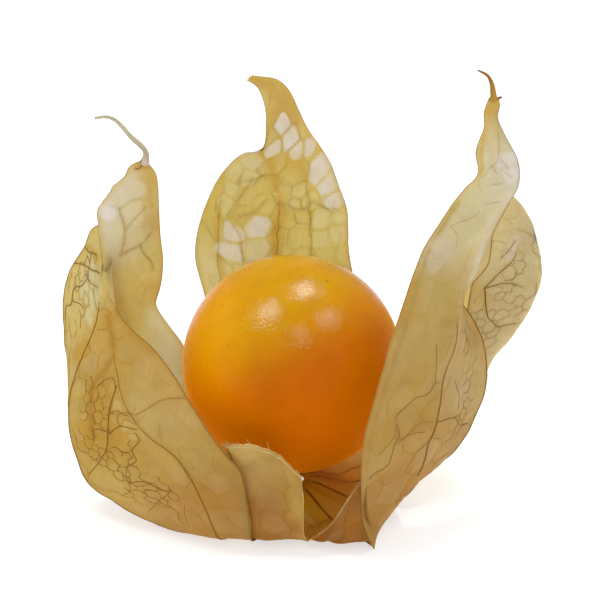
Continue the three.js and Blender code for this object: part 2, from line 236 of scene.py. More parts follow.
def smooth_line(points, at):
    """Where a smooth line is, at counts of its points: 1.5 is halfway from the second to the third."""
    points = np.asarray(points, float)
    before = 2 * points[:1] - points[1:2]
    after = 2 * points[-1:] - points[-2:-1]
    padded = np.concatenate([before, points, after])
    span = np.clip(np.floor(at).astype(int), 0, len(points) - 2)
    share = (np.asarray(at) - span).reshape((-1,) + (1,) * (points.ndim - 1))
    p0, p1, p2, p3 = (padded[span + k] for k in range(4))
    d0, d1, d2 = (np.sqrt(np.linalg.norm(b - a, axis=-1, keepdims=True))
                  for a, b in ((p0, p1), (p1, p2), (p2, p3)))
    d1 = np.where(d1 < NO_SPAN, 1.0, d1)
    d0 = np.where(d0 < NO_SPAN, d1, d0)
    d2 = np.where(d2 < NO_SPAN, d1, d2)
    start = ((p1 - p0) / d0 - (p2 - p0) / (d0 + d1) + (p2 - p1) / d1) * d1
    end = ((p2 - p1) / d1 - (p3 - p1) / (d1 + d2) + (p3 - p2) / d2) * d1
    cubic = 2 * p1 - 2 * p2 + start + end
    square = -3 * p1 + 3 * p2 - 2 * start - end
    return p1 + share * (start + share * (square + share * cubic))


def walk(points, steps):
    """Many places along a smooth line, and how far each of them is from its start."""
    fine = smooth_line(points, np.linspace(0, len(points) - 1, steps * len(points)))
    return fine, np.concatenate([[0], np.cumsum(np.linalg.norm(np.diff(fine, axis=0), axis=1))])


def even_line(points, count):
    """A smooth line as count places at even distances along it."""
    fine, walked = walk(points, STEPS_TO_SPACE)
    wanted = np.linspace(0, walked[-1], count)
    return np.stack([np.interp(wanted, walked, fine[:, k]) for k in range(3)], axis=1)


def line_length(points):
    """The length of a smooth line."""
    return float(walk(points, STEPS_TO_MEASURE)[1][-1])


# %% [markdown]
# ## Soft unevenness
# Nothing on a dried husk is perfectly even. The first function gives a smooth random value at any place:
# random numbers sit on a grid, and the place between them is blended. With the same seed it gives the same
# numbers each time. Real wrinkles come in several sizes at once, so the second function lays such values on
# top of each other.

# %% Soft noise
LATTICE = 32  # random numbers along each side of the grid
SHIFT = 100   # where on the grid the axis stands, in hills


def unevenness(places, size, seed):
    """A smooth value from -1 to 1 at each place, in mm. size is how far apart its hills are, in mm."""
    table = np.random.default_rng(seed).uniform(-1, 1, (LATTICE, LATTICE, LATTICE))
    scaled = np.asarray(places) / size + SHIFT
    cell = np.floor(scaled).astype(int)
    part = scaled - cell
    part = part * part * (3 - 2 * part)
    total = np.zeros(scaled.shape[:-1])
    for corner in range(8):
        step = np.array([corner & 1, corner >> 1 & 1, corner >> 2 & 1])
        weight = np.prod(np.where(step, part, 1 - part), axis=-1)
        at = (cell + step) % LATTICE
        total += weight * table[at[..., 0], at[..., 1], at[..., 2]]
    return total


def layered(places, seed, *layers):
    """Unevenness of several sizes on top of each other. Each layer is its strength and its size in mm."""
    return sum(strength * unevenness(places, size, seed + k) for k, (strength, size) in enumerate(layers))


# %% [markdown]
# ## Ribs
# Under a real husk the five sepals are drawn in round the stalk, and the husk stands on the ring round that
# dimple. Every rib begins there, so one function adds this part to the points that are chosen for each rib.

# %% Rib helper
HOLE_RADIUS = 1.3
RESTING_RADIUS = 7.2
BASE_RADII = (HOLE_RADIUS, 2.6, 4.4, 6.2, RESTING_RADIUS, 8.8)
DIMPLE_HEIGHT = 1.7


def rib(azimuth, *climb):
    """The points of one rib, from the stalk over the base and up through the given points."""
    angle = math.radians(azimuth)
    base = []
    for radius in BASE_RADII:
        out = min((radius - HOLE_RADIUS) / (RESTING_RADIUS - HOLE_RADIUS), 1)
        height = DIMPLE_HEIGHT * (1 + math.cos(math.pi * out)) / 2
        base.append((radius * math.cos(angle), radius * math.sin(angle), height))
    return np.array([*base, *climb], float)


# %% [markdown]
# ## Ribs of the front left sepal
# These are the same ribs as in the CAD model. Each group of three numbers is a point in millimetres from
# the stalk's axis: across, back and up. A sepal's first rib is its clockwise edge seen from above, and its
# last rib the other edge. This sepal has a wide belly, and a low torn piece stands apart from it in front
# of the berry. Only this sepal goes further than its CAD solid: its top runs on a little way behind the
# edge of the back left sepal, because the two grew as one husk there and still look like one sheet.

# %% Ribs of the front left sepal
FRONT_LEFT = [
    rib(207, (-10.8, -4.8, 0.2), (-14.6, -2.6, 1.2), (-17.6, 0.4, 3.4), (-18.9, 2.4, 7.0),
        (-19.6, 3.2, 10.2), (-21.2, 3.6, 12.8), (-21.4, 3.9, 17.0), (-20.6, 4.3, 21.0), (-19.0, 4.3, 23.7),
        (-18.7, 4.2, 24.6), (-18.4, 4.2, 25.3), (-17.9, 4.1, 25.8), (-17.2, 3.9, 26.0)),
    rib(218, (-9.6, -8.0, 0.2), (-13.3, -6.9, 1.1), (-15.9, -6.0, 2.2), (-17.8, -5.3, 3.0),
        (-19.2, -4.2, 4.2), (-20.3, -3.0, 7.0), (-20.5, -2.2, 9.4), (-20.1, -1.6, 12.4),
        (-19.1, -1.5, 15.3), (-17.6, -1.4, 18.8), (-17.25, -0.9, 20.8), (-17.35, -0.3, 22.6),
        (-17.2, 0.9, 24.2)),
    rib(237, (-6.5, -10.8, 1.0), (-7.5, -12.3, 4.4), (-8.8, -12.0, 7.2), (-10.6, -10.8, 9.3),
        (-12.9, -9.2, 10.6), (-14.8, -7.1, 12.4), (-15.7, -5.2, 15.0), (-16.1, -3.6, 17.5),
        (-16.4, -2.3, 20.5), (-16.65, -1.0, 22.0), (-16.8, 0.1, 23.2), (-16.7, 1.1, 24.0)),
    rib(251, (-3.5, -10.9, 1.0), (-3.6, -12.3, 3.5), (-3.9, -13.1, 6.1), (-4.4, -13.1, 8.8),
        (-5.6, -12.5, 10.0), (-7.1, -11.3, 11.6), (-8.8, -9.4, 13.6), (-10.6, -7.4, 16.0),
        (-12.3, -6.0, 17.7), (-14.2, -4.4, 18.9), (-15.7, -2.9, 20.3), (-16.1, -1.4, 21.6),
        (-16.3, 0.0, 22.8), (-16.3, 1.3, 23.7)),
]
TORN_PIECE = [
    rib(249, (-3.9, -10.4, 1.0), (-4.2, -12.4, 5.6), (-5.4, -12.2, 10.2), (-6.0, -11.9, 10.8)),
    rib(258, (-2.3, -11.0, 0.9), (-2.4, -13.0, 5.4), (-2.7, -13.0, 9.4), (-3.2, -12.9, 11.3)),
    rib(268, (-0.4, -11.1, 1.0), (-0.3, -13.3, 5.2), (-0.5, -13.2, 8.6), (-0.8, -13.1, 10.2)),
    rib(277, (1.4, -11.2, 0.8), (1.2, -12.5, 3.0), (1.2, -13.2, 5.6), (1.0, -13.1, 8.4)),
]
print("front left sepal:", len(FRONT_LEFT), "ribs, torn piece:", len(TORN_PIECE))

# %% [markdown]
# ## Ribs of the back left sepal
# A narrow tongue that has curled in at its sides. Three ribs are enough: two edges and the line down its
# back. Its dried tip has drawn out into a thread, which follows its own points.

# %% Ribs of the back left sepal
BACK_LEFT = [
    rib(133, (-7.7, 8.1, 0.9), (-9.1, 9.3, 4.5), (-10.2, 7.8, 9.0), (-10.2, 6.6, 12.5), (-11.3, 6.0, 14.6),
        (-12.7, 5.2, 17.5), (-12.2, 4.8, 19.4), (-11.9, 4.4, 22.0), (-12.1, 3.8, 25.7), (-12.1, 3.0, 30.2),
        (-12.3, 2.6, 31.5), (-12.9, 2.2, 32.5)),
    rib(170, (-11.0, 2.4, 0.8), (-13.6, 3.4, 4.6), (-14.8, 3.8, 9.0), (-15.0, 3.8, 14.0),
        (-15.2, 3.1, 20.0), (-14.8, 2.8, 24.0), (-14.7, 2.5, 28.0), (-14.0, 2.2, 31.2), (-13.2, 2.0, 33.0)),
    rib(205, (-10.7, -3.4, 0.9), (-13.2, -2.0, 4.5), (-14.8, -1.2, 9.0), (-15.8, -0.9, 14.0),
        (-16.6, -0.6, 19.0), (-17.0, 0.0, 23.4), (-17.5, 0.7, 26.8), (-17.4, 1.0, 28.6), (-16.7, 1.1, 29.5),
        (-16.3, 1.3, 30.3), (-15.2, 1.6, 31.6), (-14.3, 1.8, 32.5), (-13.5, 1.9, 33.1)),
]
THREAD = [(-13.2, 2.0, 32.6), (-13.1, 1.8, 33.8), (-14.4, 1.2, 35.5), (-15.7, 0.4, 37.3),
          (-16.5, 0.1, 37.7), (-17.5, 0.0, 37.6)]
print("back left sepal:", len(BACK_LEFT), "ribs")

# %% [markdown]
# ## Ribs of the back sepal
# A broad upright lobe behind the berry, whose five ribs run together in a narrow beak that bends to the
# left.

# %% Ribs of the back sepal
BACK = [
    rib(61, (5.2, 9.9, 0.9), (6.1, 11.8, 4.5), (6.7, 12.0, 10.5), (6.3, 12.2, 15.5), (5.6, 12.6, 20.4),
        (5.4, 12.9, 23.8), (4.6, 13.1, 26.4), (3.9, 13.3, 28.7), (2.7, 13.4, 30.7), (1.7, 13.4, 32.2),
        (0.7, 13.2, 34.2), (-0.1, 12.8, 36.2), (-1.2, 12.5, 37.3), (-3.6, 12.2, 37.8)),
    rib(79, (2.7, 11.2, 1.0), (3.2, 13.2, 6.0), (3.0, 14.0, 13.0), (2.6, 14.3, 20.0), (2.2, 14.3, 26.0),
        (0.8, 13.8, 31.0), (-0.4, 13.2, 35.0), (-1.8, 12.5, 37.0), (-3.8, 12.2, 37.7)),
    rib(97, (-1.2, 11.5, 1.0), (-1.1, 13.5, 6.0), (-1.2, 14.4, 13.0), (-1.3, 14.8, 20.0),
        (-1.4, 14.6, 26.0), (-0.8, 14.0, 31.0), (-1.3, 13.2, 34.8), (-2.5, 12.6, 36.9), (-3.9, 12.2, 37.6)),
    rib(115, (-4.8, 10.4, 1.0), (-5.4, 12.4, 6.0), (-5.5, 13.4, 13.0), (-6.0, 13.8, 20.0),
        (-4.9, 13.9, 26.0), (-2.7, 13.7, 29.9), (-1.9, 13.2, 33.6), (-2.9, 12.6, 36.6), (-3.9, 12.2, 37.5)),
    rib(133, (-7.4, 8.4, 0.9), (-8.5, 9.9, 4.5), (-8.0, 11.6, 10.5), (-8.2, 12.2, 15.0), (-9.2, 12.8, 19.4),
        (-8.9, 13.0, 22.0), (-7.8, 13.2, 25.2), (-6.2, 13.3, 28.2), (-4.5, 13.4, 29.8), (-2.7, 13.4, 30.2),
        (-2.3, 13.2, 32.4), (-2.4, 13.0, 34.6), (-3.1, 12.5, 36.6), (-4.1, 12.2, 37.4)),
]
print("back sepal:", len(BACK), "ribs")

# %% [markdown]
# ## Ribs of the back right sepal
# It bulges far out to the right behind the front right one, and closes again to a tip. Its second rib
# carries the bulge, so that rib has the most points.

# %% Ribs of the back right sepal
BACK_RIGHT = [
    rib(-11, (10.8, -2.3, 0.9), (13.3, -0.8, 3.8), (15.9, 0.8, 8.0), (16.8, 1.6, 12.5), (16.5, 2.0, 18.0),
        (17.2, 2.0, 22.0), (18.2, 1.8, 26.0), (20.1, 1.4, 29.0)),
    rib(5, (11.2, 1.2, 0.8), (14.8, 2.6, 3.6), (17.4, 3.3, 8.0), (18.9, 3.2, 12.4), (20.5, 3.0, 14.8),
        (22.1, 3.2, 17.2), (23.3, 3.6, 19.8), (23.5, 3.9, 22.6), (22.8, 3.6, 25.8), (21.4, 2.8, 28.1),
        (20.4, 2.2, 29.3)),
    rib(24, (10.6, 4.6, 0.8), (13.8, 6.6, 4.0), (16.2, 7.6, 9.0), (17.8, 7.6, 14.0), (19.8, 7.4, 18.5),
        (20.6, 6.4, 23.0), (20.4, 4.6, 27.0), (20.3, 2.8, 29.4)),
    rib(43, (8.9, 7.4, 0.8), (11.2, 9.6, 4.0), (13.0, 11.2, 9.0), (14.6, 11.4, 14.0), (16.4, 10.2, 19.0),
        (17.9, 8.0, 24.0), (19.2, 5.2, 27.6), (20.2, 3.2, 29.6)),
    rib(61, (5.8, 9.7, 0.9), (6.9, 11.5, 4.5), (9.6, 13.2, 10.0), (11.8, 13.0, 15.0), (14.2, 11.4, 20.2),
        (16.9, 8.2, 25.0), (18.9, 5.0, 28.4), (20.1, 3.5, 29.8)),
]
print("back right sepal:", len(BACK_RIGHT), "ribs")

# %% [markdown]
# ## Ribs of the front right sepal
# The tallest flap. It is twisted, so its middle rib is a sharp keel and its right edge turns forward and
# back again. A low piece in the berry's shade belongs to it, with ribs of very different length. Its tip
# ends in a hook.

# %% Ribs of the front right sepal
FRONT_RIGHT = [
    rib(306, (6.2, -8.6, 0.0), (7.7, -11.0, 0.0), (7.5, -11.7, 0.9), (6.7, -12.8, 3.8), (6.5, -13.6, 6.6),
        (6.5, -13.7, 9.0), (6.7, -13.2, 12.0), (7.5, -12.0, 15.2), (8.8, -10.0, 19.0), (10.3, -7.8, 23.1),
        (12.1, -5.7, 27.3), (13.7, -4.6, 29.6), (15.6, -3.4, 32.0), (16.8, -2.7, 33.2), (16.6, -2.4, 35.2),
        (17.3, -1.9, 37.4), (17.3, -1.8, 38.7), (17.7, -1.6, 40.0)),
    rib(327, (8.1, -8.0, 0.6), (9.7, -9.5, 3.2), (11.5, -9.0, 6.2), (13.1, -8.5, 10.1), (14.0, -7.4, 14.6),
        (14.8, -5.9, 18.6), (15.5, -4.4, 23.0), (17.0, -3.1, 27.2), (18.4, -2.2, 31.4), (18.3, -1.8, 36.0),
        (18.1, -1.5, 40.0)),
    rib(349, (9.9, -3.3, 0.7), (10.9, -5.3, 3.0), (12.4, -5.0, 5.0), (14.9, -3.6, 6.3), (17.0, -2.4, 9.0),
        (18.1, -1.5, 12.8), (17.7, -0.8, 16.4), (16.4, -0.4, 19.2), (15.8, -0.3, 20.6), (16.9, -0.4, 21.9),
        (18.1, -0.5, 23.8), (18.4, -0.7, 27.0), (19.8, -1.0, 30.1), (20.6, -1.0, 31.9), (20.4, -1.0, 34.0),
        (19.1, -1.2, 36.5), (18.5, -1.4, 38.2), (18.7, -1.4, 39.3), (18.6, -1.4, 40.0)),
]
LOW_PIECE = [
    rib(277, (1.7, -11.2, 0.8), (1.8, -11.4, 1.1)),
    rib(287, (3.3, -11.5, 1.0), (3.7, -12.4, 3.3)),
    rib(297, (4.9, -11.4, 0.8), (5.0, -12.6, 3.4), (5.3, -13.2, 6.5)),
    rib(308, (6.4, -8.4, 0.1), (7.5, -10.2, 0.3), (7.3, -11.8, 2.8), (6.9, -13.2, 6.4), (6.9, -13.2, 8.6)),
]
HOOK = [(18.15, -1.5, 39.8), (18.05, -1.65, 40.6), (17.9, -1.8, 41.4), (17.5, -2.0, 42.2),
        (16.6, -2.3, 42.8)]
print("front right sepal:", len(FRONT_RIGHT), "ribs, low piece:", len(LOW_PIECE))

# %% [markdown]
# ## Stretching a sheet over its ribs
# The sheet is a grid of points: rows go up the ribs, and columns go across from rib to rib. Between the
# ribs the sheet is part rounded, part folded straight, and the keel number sets how much of each.
# A subdivision surface over a coarse cage would be shorter, but it pulls away from the ribs, and the ribs
# are what the eye follows on a husk. The two sheets in front and the back right one get a finer grid,
# because their net of veins is the closest.

# %% Stretch the sheets
GRID_STEP = 0.22  # how far apart the grid's points are, in mm


def unit(vectors):
    """The same directions with a length of 1."""
    return vectors / np.maximum(np.linalg.norm(vectors, axis=-1, keepdims=True), 1e-9)


def kept_above(places, height=0.0):
    """The same places, with those lower than a height in mm lifted to it."""
    places[..., 2] = np.maximum(places[..., 2], height)
    return places


def flattened(grid):
    """Where each point of a grid lies when it is spread flat, in mm: across from its middle, and up."""
    middle = grid.shape[1] // 2
    sideways = np.cumsum(np.linalg.norm(np.diff(grid, axis=1, prepend=grid[:, :1]), axis=2), axis=1)
    up = np.cumsum(np.linalg.norm(np.diff(grid[:, middle], axis=0, prepend=grid[:1, middle]), axis=1))
    up = np.repeat(up[:, None], grid.shape[1], axis=1)
    return np.stack([sideways - sideways[:, middle:middle + 1], up], axis=-1)


def stretch(ribs, keel, grid_step=GRID_STEP):
    """A sheet over its ribs: its grid of places, and how far across and along each column and row is."""
    lengths = [line_length(points) for points in ribs]
    rows = int(max(lengths) / grid_step)
    lines = np.array([even_line(points, rows) for points in ribs])
    gaps = np.linalg.norm(np.diff(lines, axis=0), axis=2)
    across = np.linspace(0, len(ribs) - 1, int(gaps.sum(axis=0).max() / grid_step))
    rounded = smooth_line(lines, across)
    panel = np.clip(np.floor(across).astype(int), 0, len(ribs) - 2)
    part = (across - panel)[:, None, None]
    folded = lines[panel] * (1 - part) + lines[panel + 1] * part
    grid = kept_above((rounded * (1 - keel) + folded * keel).transpose(1, 0, 2))
    return {"grid": grid, "flat": flattened(grid), "across": across, "along": np.linspace(0, 1, rows),
            "length": np.mean(lengths), "panel_width": float(gaps.mean())}


sheets = {
    "sepal_front_left": stretch(FRONT_LEFT, keel=0.45, grid_step=0.18),
    "torn_piece": stretch(TORN_PIECE, keel=0.1),
    "sepal_back_left": stretch(BACK_LEFT, keel=0.1),
    "sepal_back": stretch(BACK, keel=0.3),
    "sepal_back_right": stretch(BACK_RIGHT, keel=0.15, grid_step=0.19),
    "sepal_front_right": stretch(FRONT_RIGHT, keel=0.35, grid_step=0.17),
    "low_piece": stretch(LOW_PIECE, keel=0.1),
}
for name, sheet in sheets.items():
    rows, columns = sheet["grid"].shape[:2]
    print(f"{name}: {rows} rows x {columns} columns, {sheet['length']:.1f} mm long")

# %% [markdown]
# ## The colours of dried husk
# Dried husk is straw yellow, and near veins it is ochre. Towards the base it is painted darker, honey and
# then brown: partly the paper's own colour, partly painted shade, since the low parts get less light. Where
# the two skins of the paper have come apart, it is whitish. Thin paper keeps a little olive. Low on the inner
# face, close to the berry, the paper is painted dark orange: painted shade, with a painted glow for the light
# that comes off the fruit.

# %% Husk colours
def colour(red, green, blue):
    """A colour given as 0 to 255 display values, as the linear values that a socket takes."""
    def linear(value):
        share = value / 255
        return share / 12.92 if share <= 0.04045 else ((share + 0.055) / 1.055) ** 2.4
    return (linear(red), linear(green), linear(blue), 1)


STRAW = colour(188, 156, 80)
PALE_STRAW = colour(202, 174, 106)
KHAKI = colour(188, 164, 98)
OLIVE = colour(198, 174, 98)
MOSS = colour(168, 144, 80)
SAND = colour(196, 172, 124)
CREAM = colour(208, 196, 156)
PARCHMENT = colour(204, 190, 164)
WHITISH = colour(206, 198, 186)
MILK = colour(220, 212, 214)
# Nearly white, for the tongue's shaded base: partly pale paper, partly painted light.
NEAR_WHITE_LIT = colour(230, 232, 212)
FAWN = colour(184, 160, 118)
TAN = colour(176, 140, 76)
OCHRE = colour(182, 138, 50)
DARK_OCHRE = colour(162, 116, 32)
# The honey, shaded honey and burnt colours lie mostly low down: partly the paper's own colour, partly painted
# shade.
HONEY = colour(168, 122, 54)
SHADED_HONEY = colour(158, 108, 40)
BURNT = colour(142, 86, 14)
BROWN = colour(116, 68, 20)
FIBRE = colour(226, 208, 160)
# Painted shade with a painted orange glow, for the inner face low beside the berry.
SHADE_AND_BERRY_GLOW = colour(132, 50, 1)

# %% [markdown]
# ## What each sheet looks like
# No two sepals dry alike, so every sheet gets lists of its own. A pattern from noise alone would be
# shorter, but the eye knows a husk by its main veins and stains. Places on a sheet are a rib number across
# and a share of the way up, and sizes are in mm.
# - shades: a colour, then the places that have it. In between, the colours run into each other.
# - bands: soft stripes, each with half its width, its colour, its strength and its route.
# - loose: cells of the net whose skin has come loose, each with its place, half its width and height, its
#   colour and its strength.
# - veins: the side veins, each with its thickness at the start and the end, how dark it is, and its route.
#   Below 0 it is paler than the paper.
# - ribs: the same three for the ribs that stand out, by number, and where each ends.
# - open: how far apart the net's cells are. close: ovals where they are closer, each with its place, half
#   its width and height, and how far apart the cells are. bare: ovals with no net.
# - shown, net_dark, net_shade: how much of the net shows, how dark it is, and what colour the paper has
#   along it.
# - halo: how strong that colour is. pale: how much paler a cell is in its middle. light: how light the
#   sheet is.

# %% Plain sheets
PLAIN = {
    "open": 2.4, "shown": 0.3, "net_dark": 0.2, "net_shade": OCHRE, "halo": 0.1, "pale": 0.1, "light": 0.85,
    "close": [], "bare": [], "shades": [], "bands": [], "loose": [], "ribs": {}, "veins": [],
}


def lay_out(name, **looks):
    """Gives a sheet its looks, and plain ones where nothing is said."""
    sheets[name].update({**PLAIN, **looks})
    print(name + ":", ", ".join(f"{len(sheets[name][part])} {part}" for part in ("bands", "loose", "veins")))


# %% [markdown]
# ## Looks of the front left sepal
# Straw coloured, with a darker line where the upper ribs fold, and a dense patch of small cells on its
# belly. The side veins there are strong and dark.

# %% Looks of the front left sepal
lay_out(
    "sepal_front_left", open=2.2, shown=0.5, net_dark=0.5, halo=0.35, pale=0.12, light=0.9,
    bare=[(2.0, 0.975, 2.4, 3.2)],
    close=[
        (1.55, 0.655, 2.6, 3.2, 0.85), (1.5, 0.55, 3.6, 3.6, 0.75), (1.55, 0.44, 3.8, 3.0, 0.8),
        (0.35, 0.88, 3.6, 3.0, 0.95), (0.25, 0.78, 3.0, 4.5, 1.2),
    ],
    shades=[
        (OCHRE, (2.9, 0.82), (1.6, 0.83), (1.55, 0.69), (1.6, 0.59), (1.35, 0.6), (1.75, 0.86),
            (0.8, 0.78)),
        (STRAW, (2.95, 0.86), (2.1, 0.79), (2.75, 0.7), (2.15, 0.48), (1.4, 0.49), (1.1, 0.68),
            (0.1, 0.75)),
        (PALE_STRAW, (2.5, 0.92), (2.3, 0.64), (2.0, 0.92), (1.3, 0.95), (0.1, 0.92), (0.2, 0.98),
            (0.6, 0.8), (0.3, 0.84), (0.6, 0.74)),
        (HONEY, (2.3, 0.4), (1.9, 0.35), (1.6, 0.37), (1.5, 0.2)),
        (TAN, (1.3, 0.75), (1.4, 0.41), (0.2, 0.4)),
        (KHAKI, (2.0, 0.96), (2.9, 0.95)),
        (CREAM, (0.45, 0.9)),
        (SHADED_HONEY, (1.5, 0.05)),
    ],
    bands=[
        (0.45, DARK_OCHRE, 0.75, [(1.93, 0.86), (2.02, 0.79), (1.81, 0.755), (1.55, 0.727), (1.45, 0.704),
            (1.43, 0.656), (1.38, 0.6)]),
        (0.4, OCHRE, 0.8, [(0.1, 0.94), (0.3, 0.948), (0.6, 0.96)]),
        (0.7, OCHRE, 0.6, [(1.0, 0.79), (0.6, 0.73)]),
        (0.5, DARK_OCHRE, 0.5, [(2.97, 0.75), (2.97, 0.87)]),
        (0.8, OCHRE, 0.5, [(1.6, 0.64), (1.45, 0.55)]),
    ],
    loose=[
        (0.5, 0.915, 0.6, 0.6, CREAM, 0.5), (0.75, 0.865, 0.6, 0.9, CREAM, 0.5),
        (0.4, 0.87, 0.5, 0.7, CREAM, 0.4), (0.85, 0.915, 0.5, 0.9, CREAM, 0.5),
        (1.85, 0.66, 0.4, 0.4, PALE_STRAW, 0.6), (1.85, 0.6, 0.4, 0.7, PALE_STRAW, 0.6),
    ],
    ribs={0: (0.1, 0.1, 0.6, 1), 1: (0.14, 0.1, 0.75, 0.9), 2: (0.24, 0.05, 0.6, 0.78),
          3: (0.26, 0.08, 0.5, 0.88)},
    veins=[
        (0.08, 0.07, 0.3, [(2.97, 0.628), (2.65, 0.644), (2.32, 0.641), (2.08, 0.637)]),
        (0.12, 0.08, 0.65, [(1.95, 0.71), (1.75, 0.667), (1.58, 0.605), (1.5, 0.573), (1.34, 0.543),
            (1.1, 0.514)]),
        (0.1, 0.09, 0.6, [(1.58, 0.602), (1.77, 0.616), (1.95, 0.6)]),
        (0.11, 0.06, 0.6, [(1.9, 0.592), (1.8, 0.561), (1.69, 0.531), (1.58, 0.514), (1.45, 0.473),
            (1.25, 0.446)]),
        (0.1, 0.08, 0.55, [(1.45, 0.475), (1.58, 0.469), (1.64, 0.443), (1.74, 0.426)]),
        (0.09, 0.06, 0.5, [(1.7, 0.426), (1.53, 0.41), (1.28, 0.384)]),
        (0.08, 0.07, 0.5, [(1.65, 0.646), (1.86, 0.653), (1.96, 0.639)]),
        (0.09, 0.07, 0.55, [(1.58, 0.605), (1.46, 0.616), (1.4, 0.608), (1.38, 0.587)]),
        (0.08, 0.07, 0.5, [(1.55, 0.711), (1.72, 0.725), (1.9, 0.72), (1.9, 0.7)]),
        (0.08, 0.07, 0.5, [(1.77, 0.614), (1.8, 0.637), (1.92, 0.648), (2.06, 0.639)]),
        (0.08, 0.06, 0.35, [(1.77, 0.389), (1.66, 0.353), (1.58, 0.319)]),
        (0.08, 0.12, 0.8, [(0.0, 0.885), (0.3, 0.912), (0.6, 0.935), (0.85, 0.95)]),
        (0.1, 0.08, 0.5, [(0.32, 0.905), (0.4, 0.9), (0.9, 0.925)]),
        (0.1, 0.1, 0.7, [(0.42, 0.9), (0.33, 0.872), (0.25, 0.845), (0.25, 0.83), (0.15, 0.8),
            (0.12, 0.77)]),
        (0.08, 0.07, 0.6, [(0.25, 0.83), (0.42, 0.842), (0.6, 0.85)]),
        (0.09, 0.1, 0.6, [(0.02, 0.93), (0.2, 0.935), (0.35, 0.95), (0.55, 0.965)]),
    ],
)

# %% [markdown]
# ## Looks of the torn piece and the low piece
# The torn piece has pale torn rims, which are drawn as veins lighter than the paper. Both pieces stand low
# beside the berry and are painted brown: painted shade, with a painted glow for the berry's orange light.

# %% Looks of the torn piece and the low piece
lay_out(
    "torn_piece", shown=0.3, net_dark=0.12, light=0.84,
    shades=[
        (STRAW, (1.25, 0.94), (0.2, 0.95)),
        (TAN, (0.5, 0.83)),
        (OCHRE, (2.2, 0.86), (2.7, 0.8)),
        (SHADED_HONEY, (1.5, 0.72), (2.0, 0.6), (0.0, 0.7), (0.0, 0.55)),
        (PALE_STRAW, (0.8, 0.98)),
        (BURNT, (1.5, 0.4), (0.6, 0.35), (2.4, 0.35), (1.5, 0.1)),
        (HONEY, (2.9, 0.5)),
    ],
    bands=[
        (0.5, DARK_OCHRE, 0.5, [(0.0, 0.3), (0.1, 0.7)]),
        (0.6, OLIVE, 0.5, [(2.2, 0.97), (2.75, 0.8)]),
    ],
    ribs={0: (0.16, 0.18, 0.7, 0.97), 3: (0.08, 0.08, -0.5, 1)},
    veins=[
        (0.1, 0.08, -0.5, [(0.1, 0.985), (1.0, 0.985), (2.0, 0.985), (3.0, 0.985)]),
        (0.08, 0.05, -0.15, [(0.4, 0.9), (1.2, 0.91), (1.9, 0.88), (2.6, 0.9)]),
        (0.08, 0.05, -0.6, [(2.55, 0.22), (2.75, 0.32), (2.8, 0.42)]),
    ],
)
# The low piece stands in the berry's shade: its burnt brown and its low light value are painted shade.
lay_out(
    "low_piece", shown=0.1, net_dark=0.1, light=0.74,
    shades=[
        (BURNT, (2.0, 0.85), (1.1, 0.9), (2.4, 0.9), (2.6, 0.7), (1.5, 0.2)),
    ],
    ribs={0: (0.06, 0.06, -0.3, 1)},
    veins=[
        (0.07, 0.07, -0.45, [(0.3, 0.985), (1.5, 0.985), (2.9, 0.985)]),
    ],
)

# %% [markdown]
# ## Looks of the back left sepal
# Its skins have come apart, so it is milky above, with a few faint veins. Its low right side is painted
# nearly
# white: partly pale paper, partly painted light, because it stands in shade there.
# A soft mossy band lies along each vein, so the same routes are used for both.

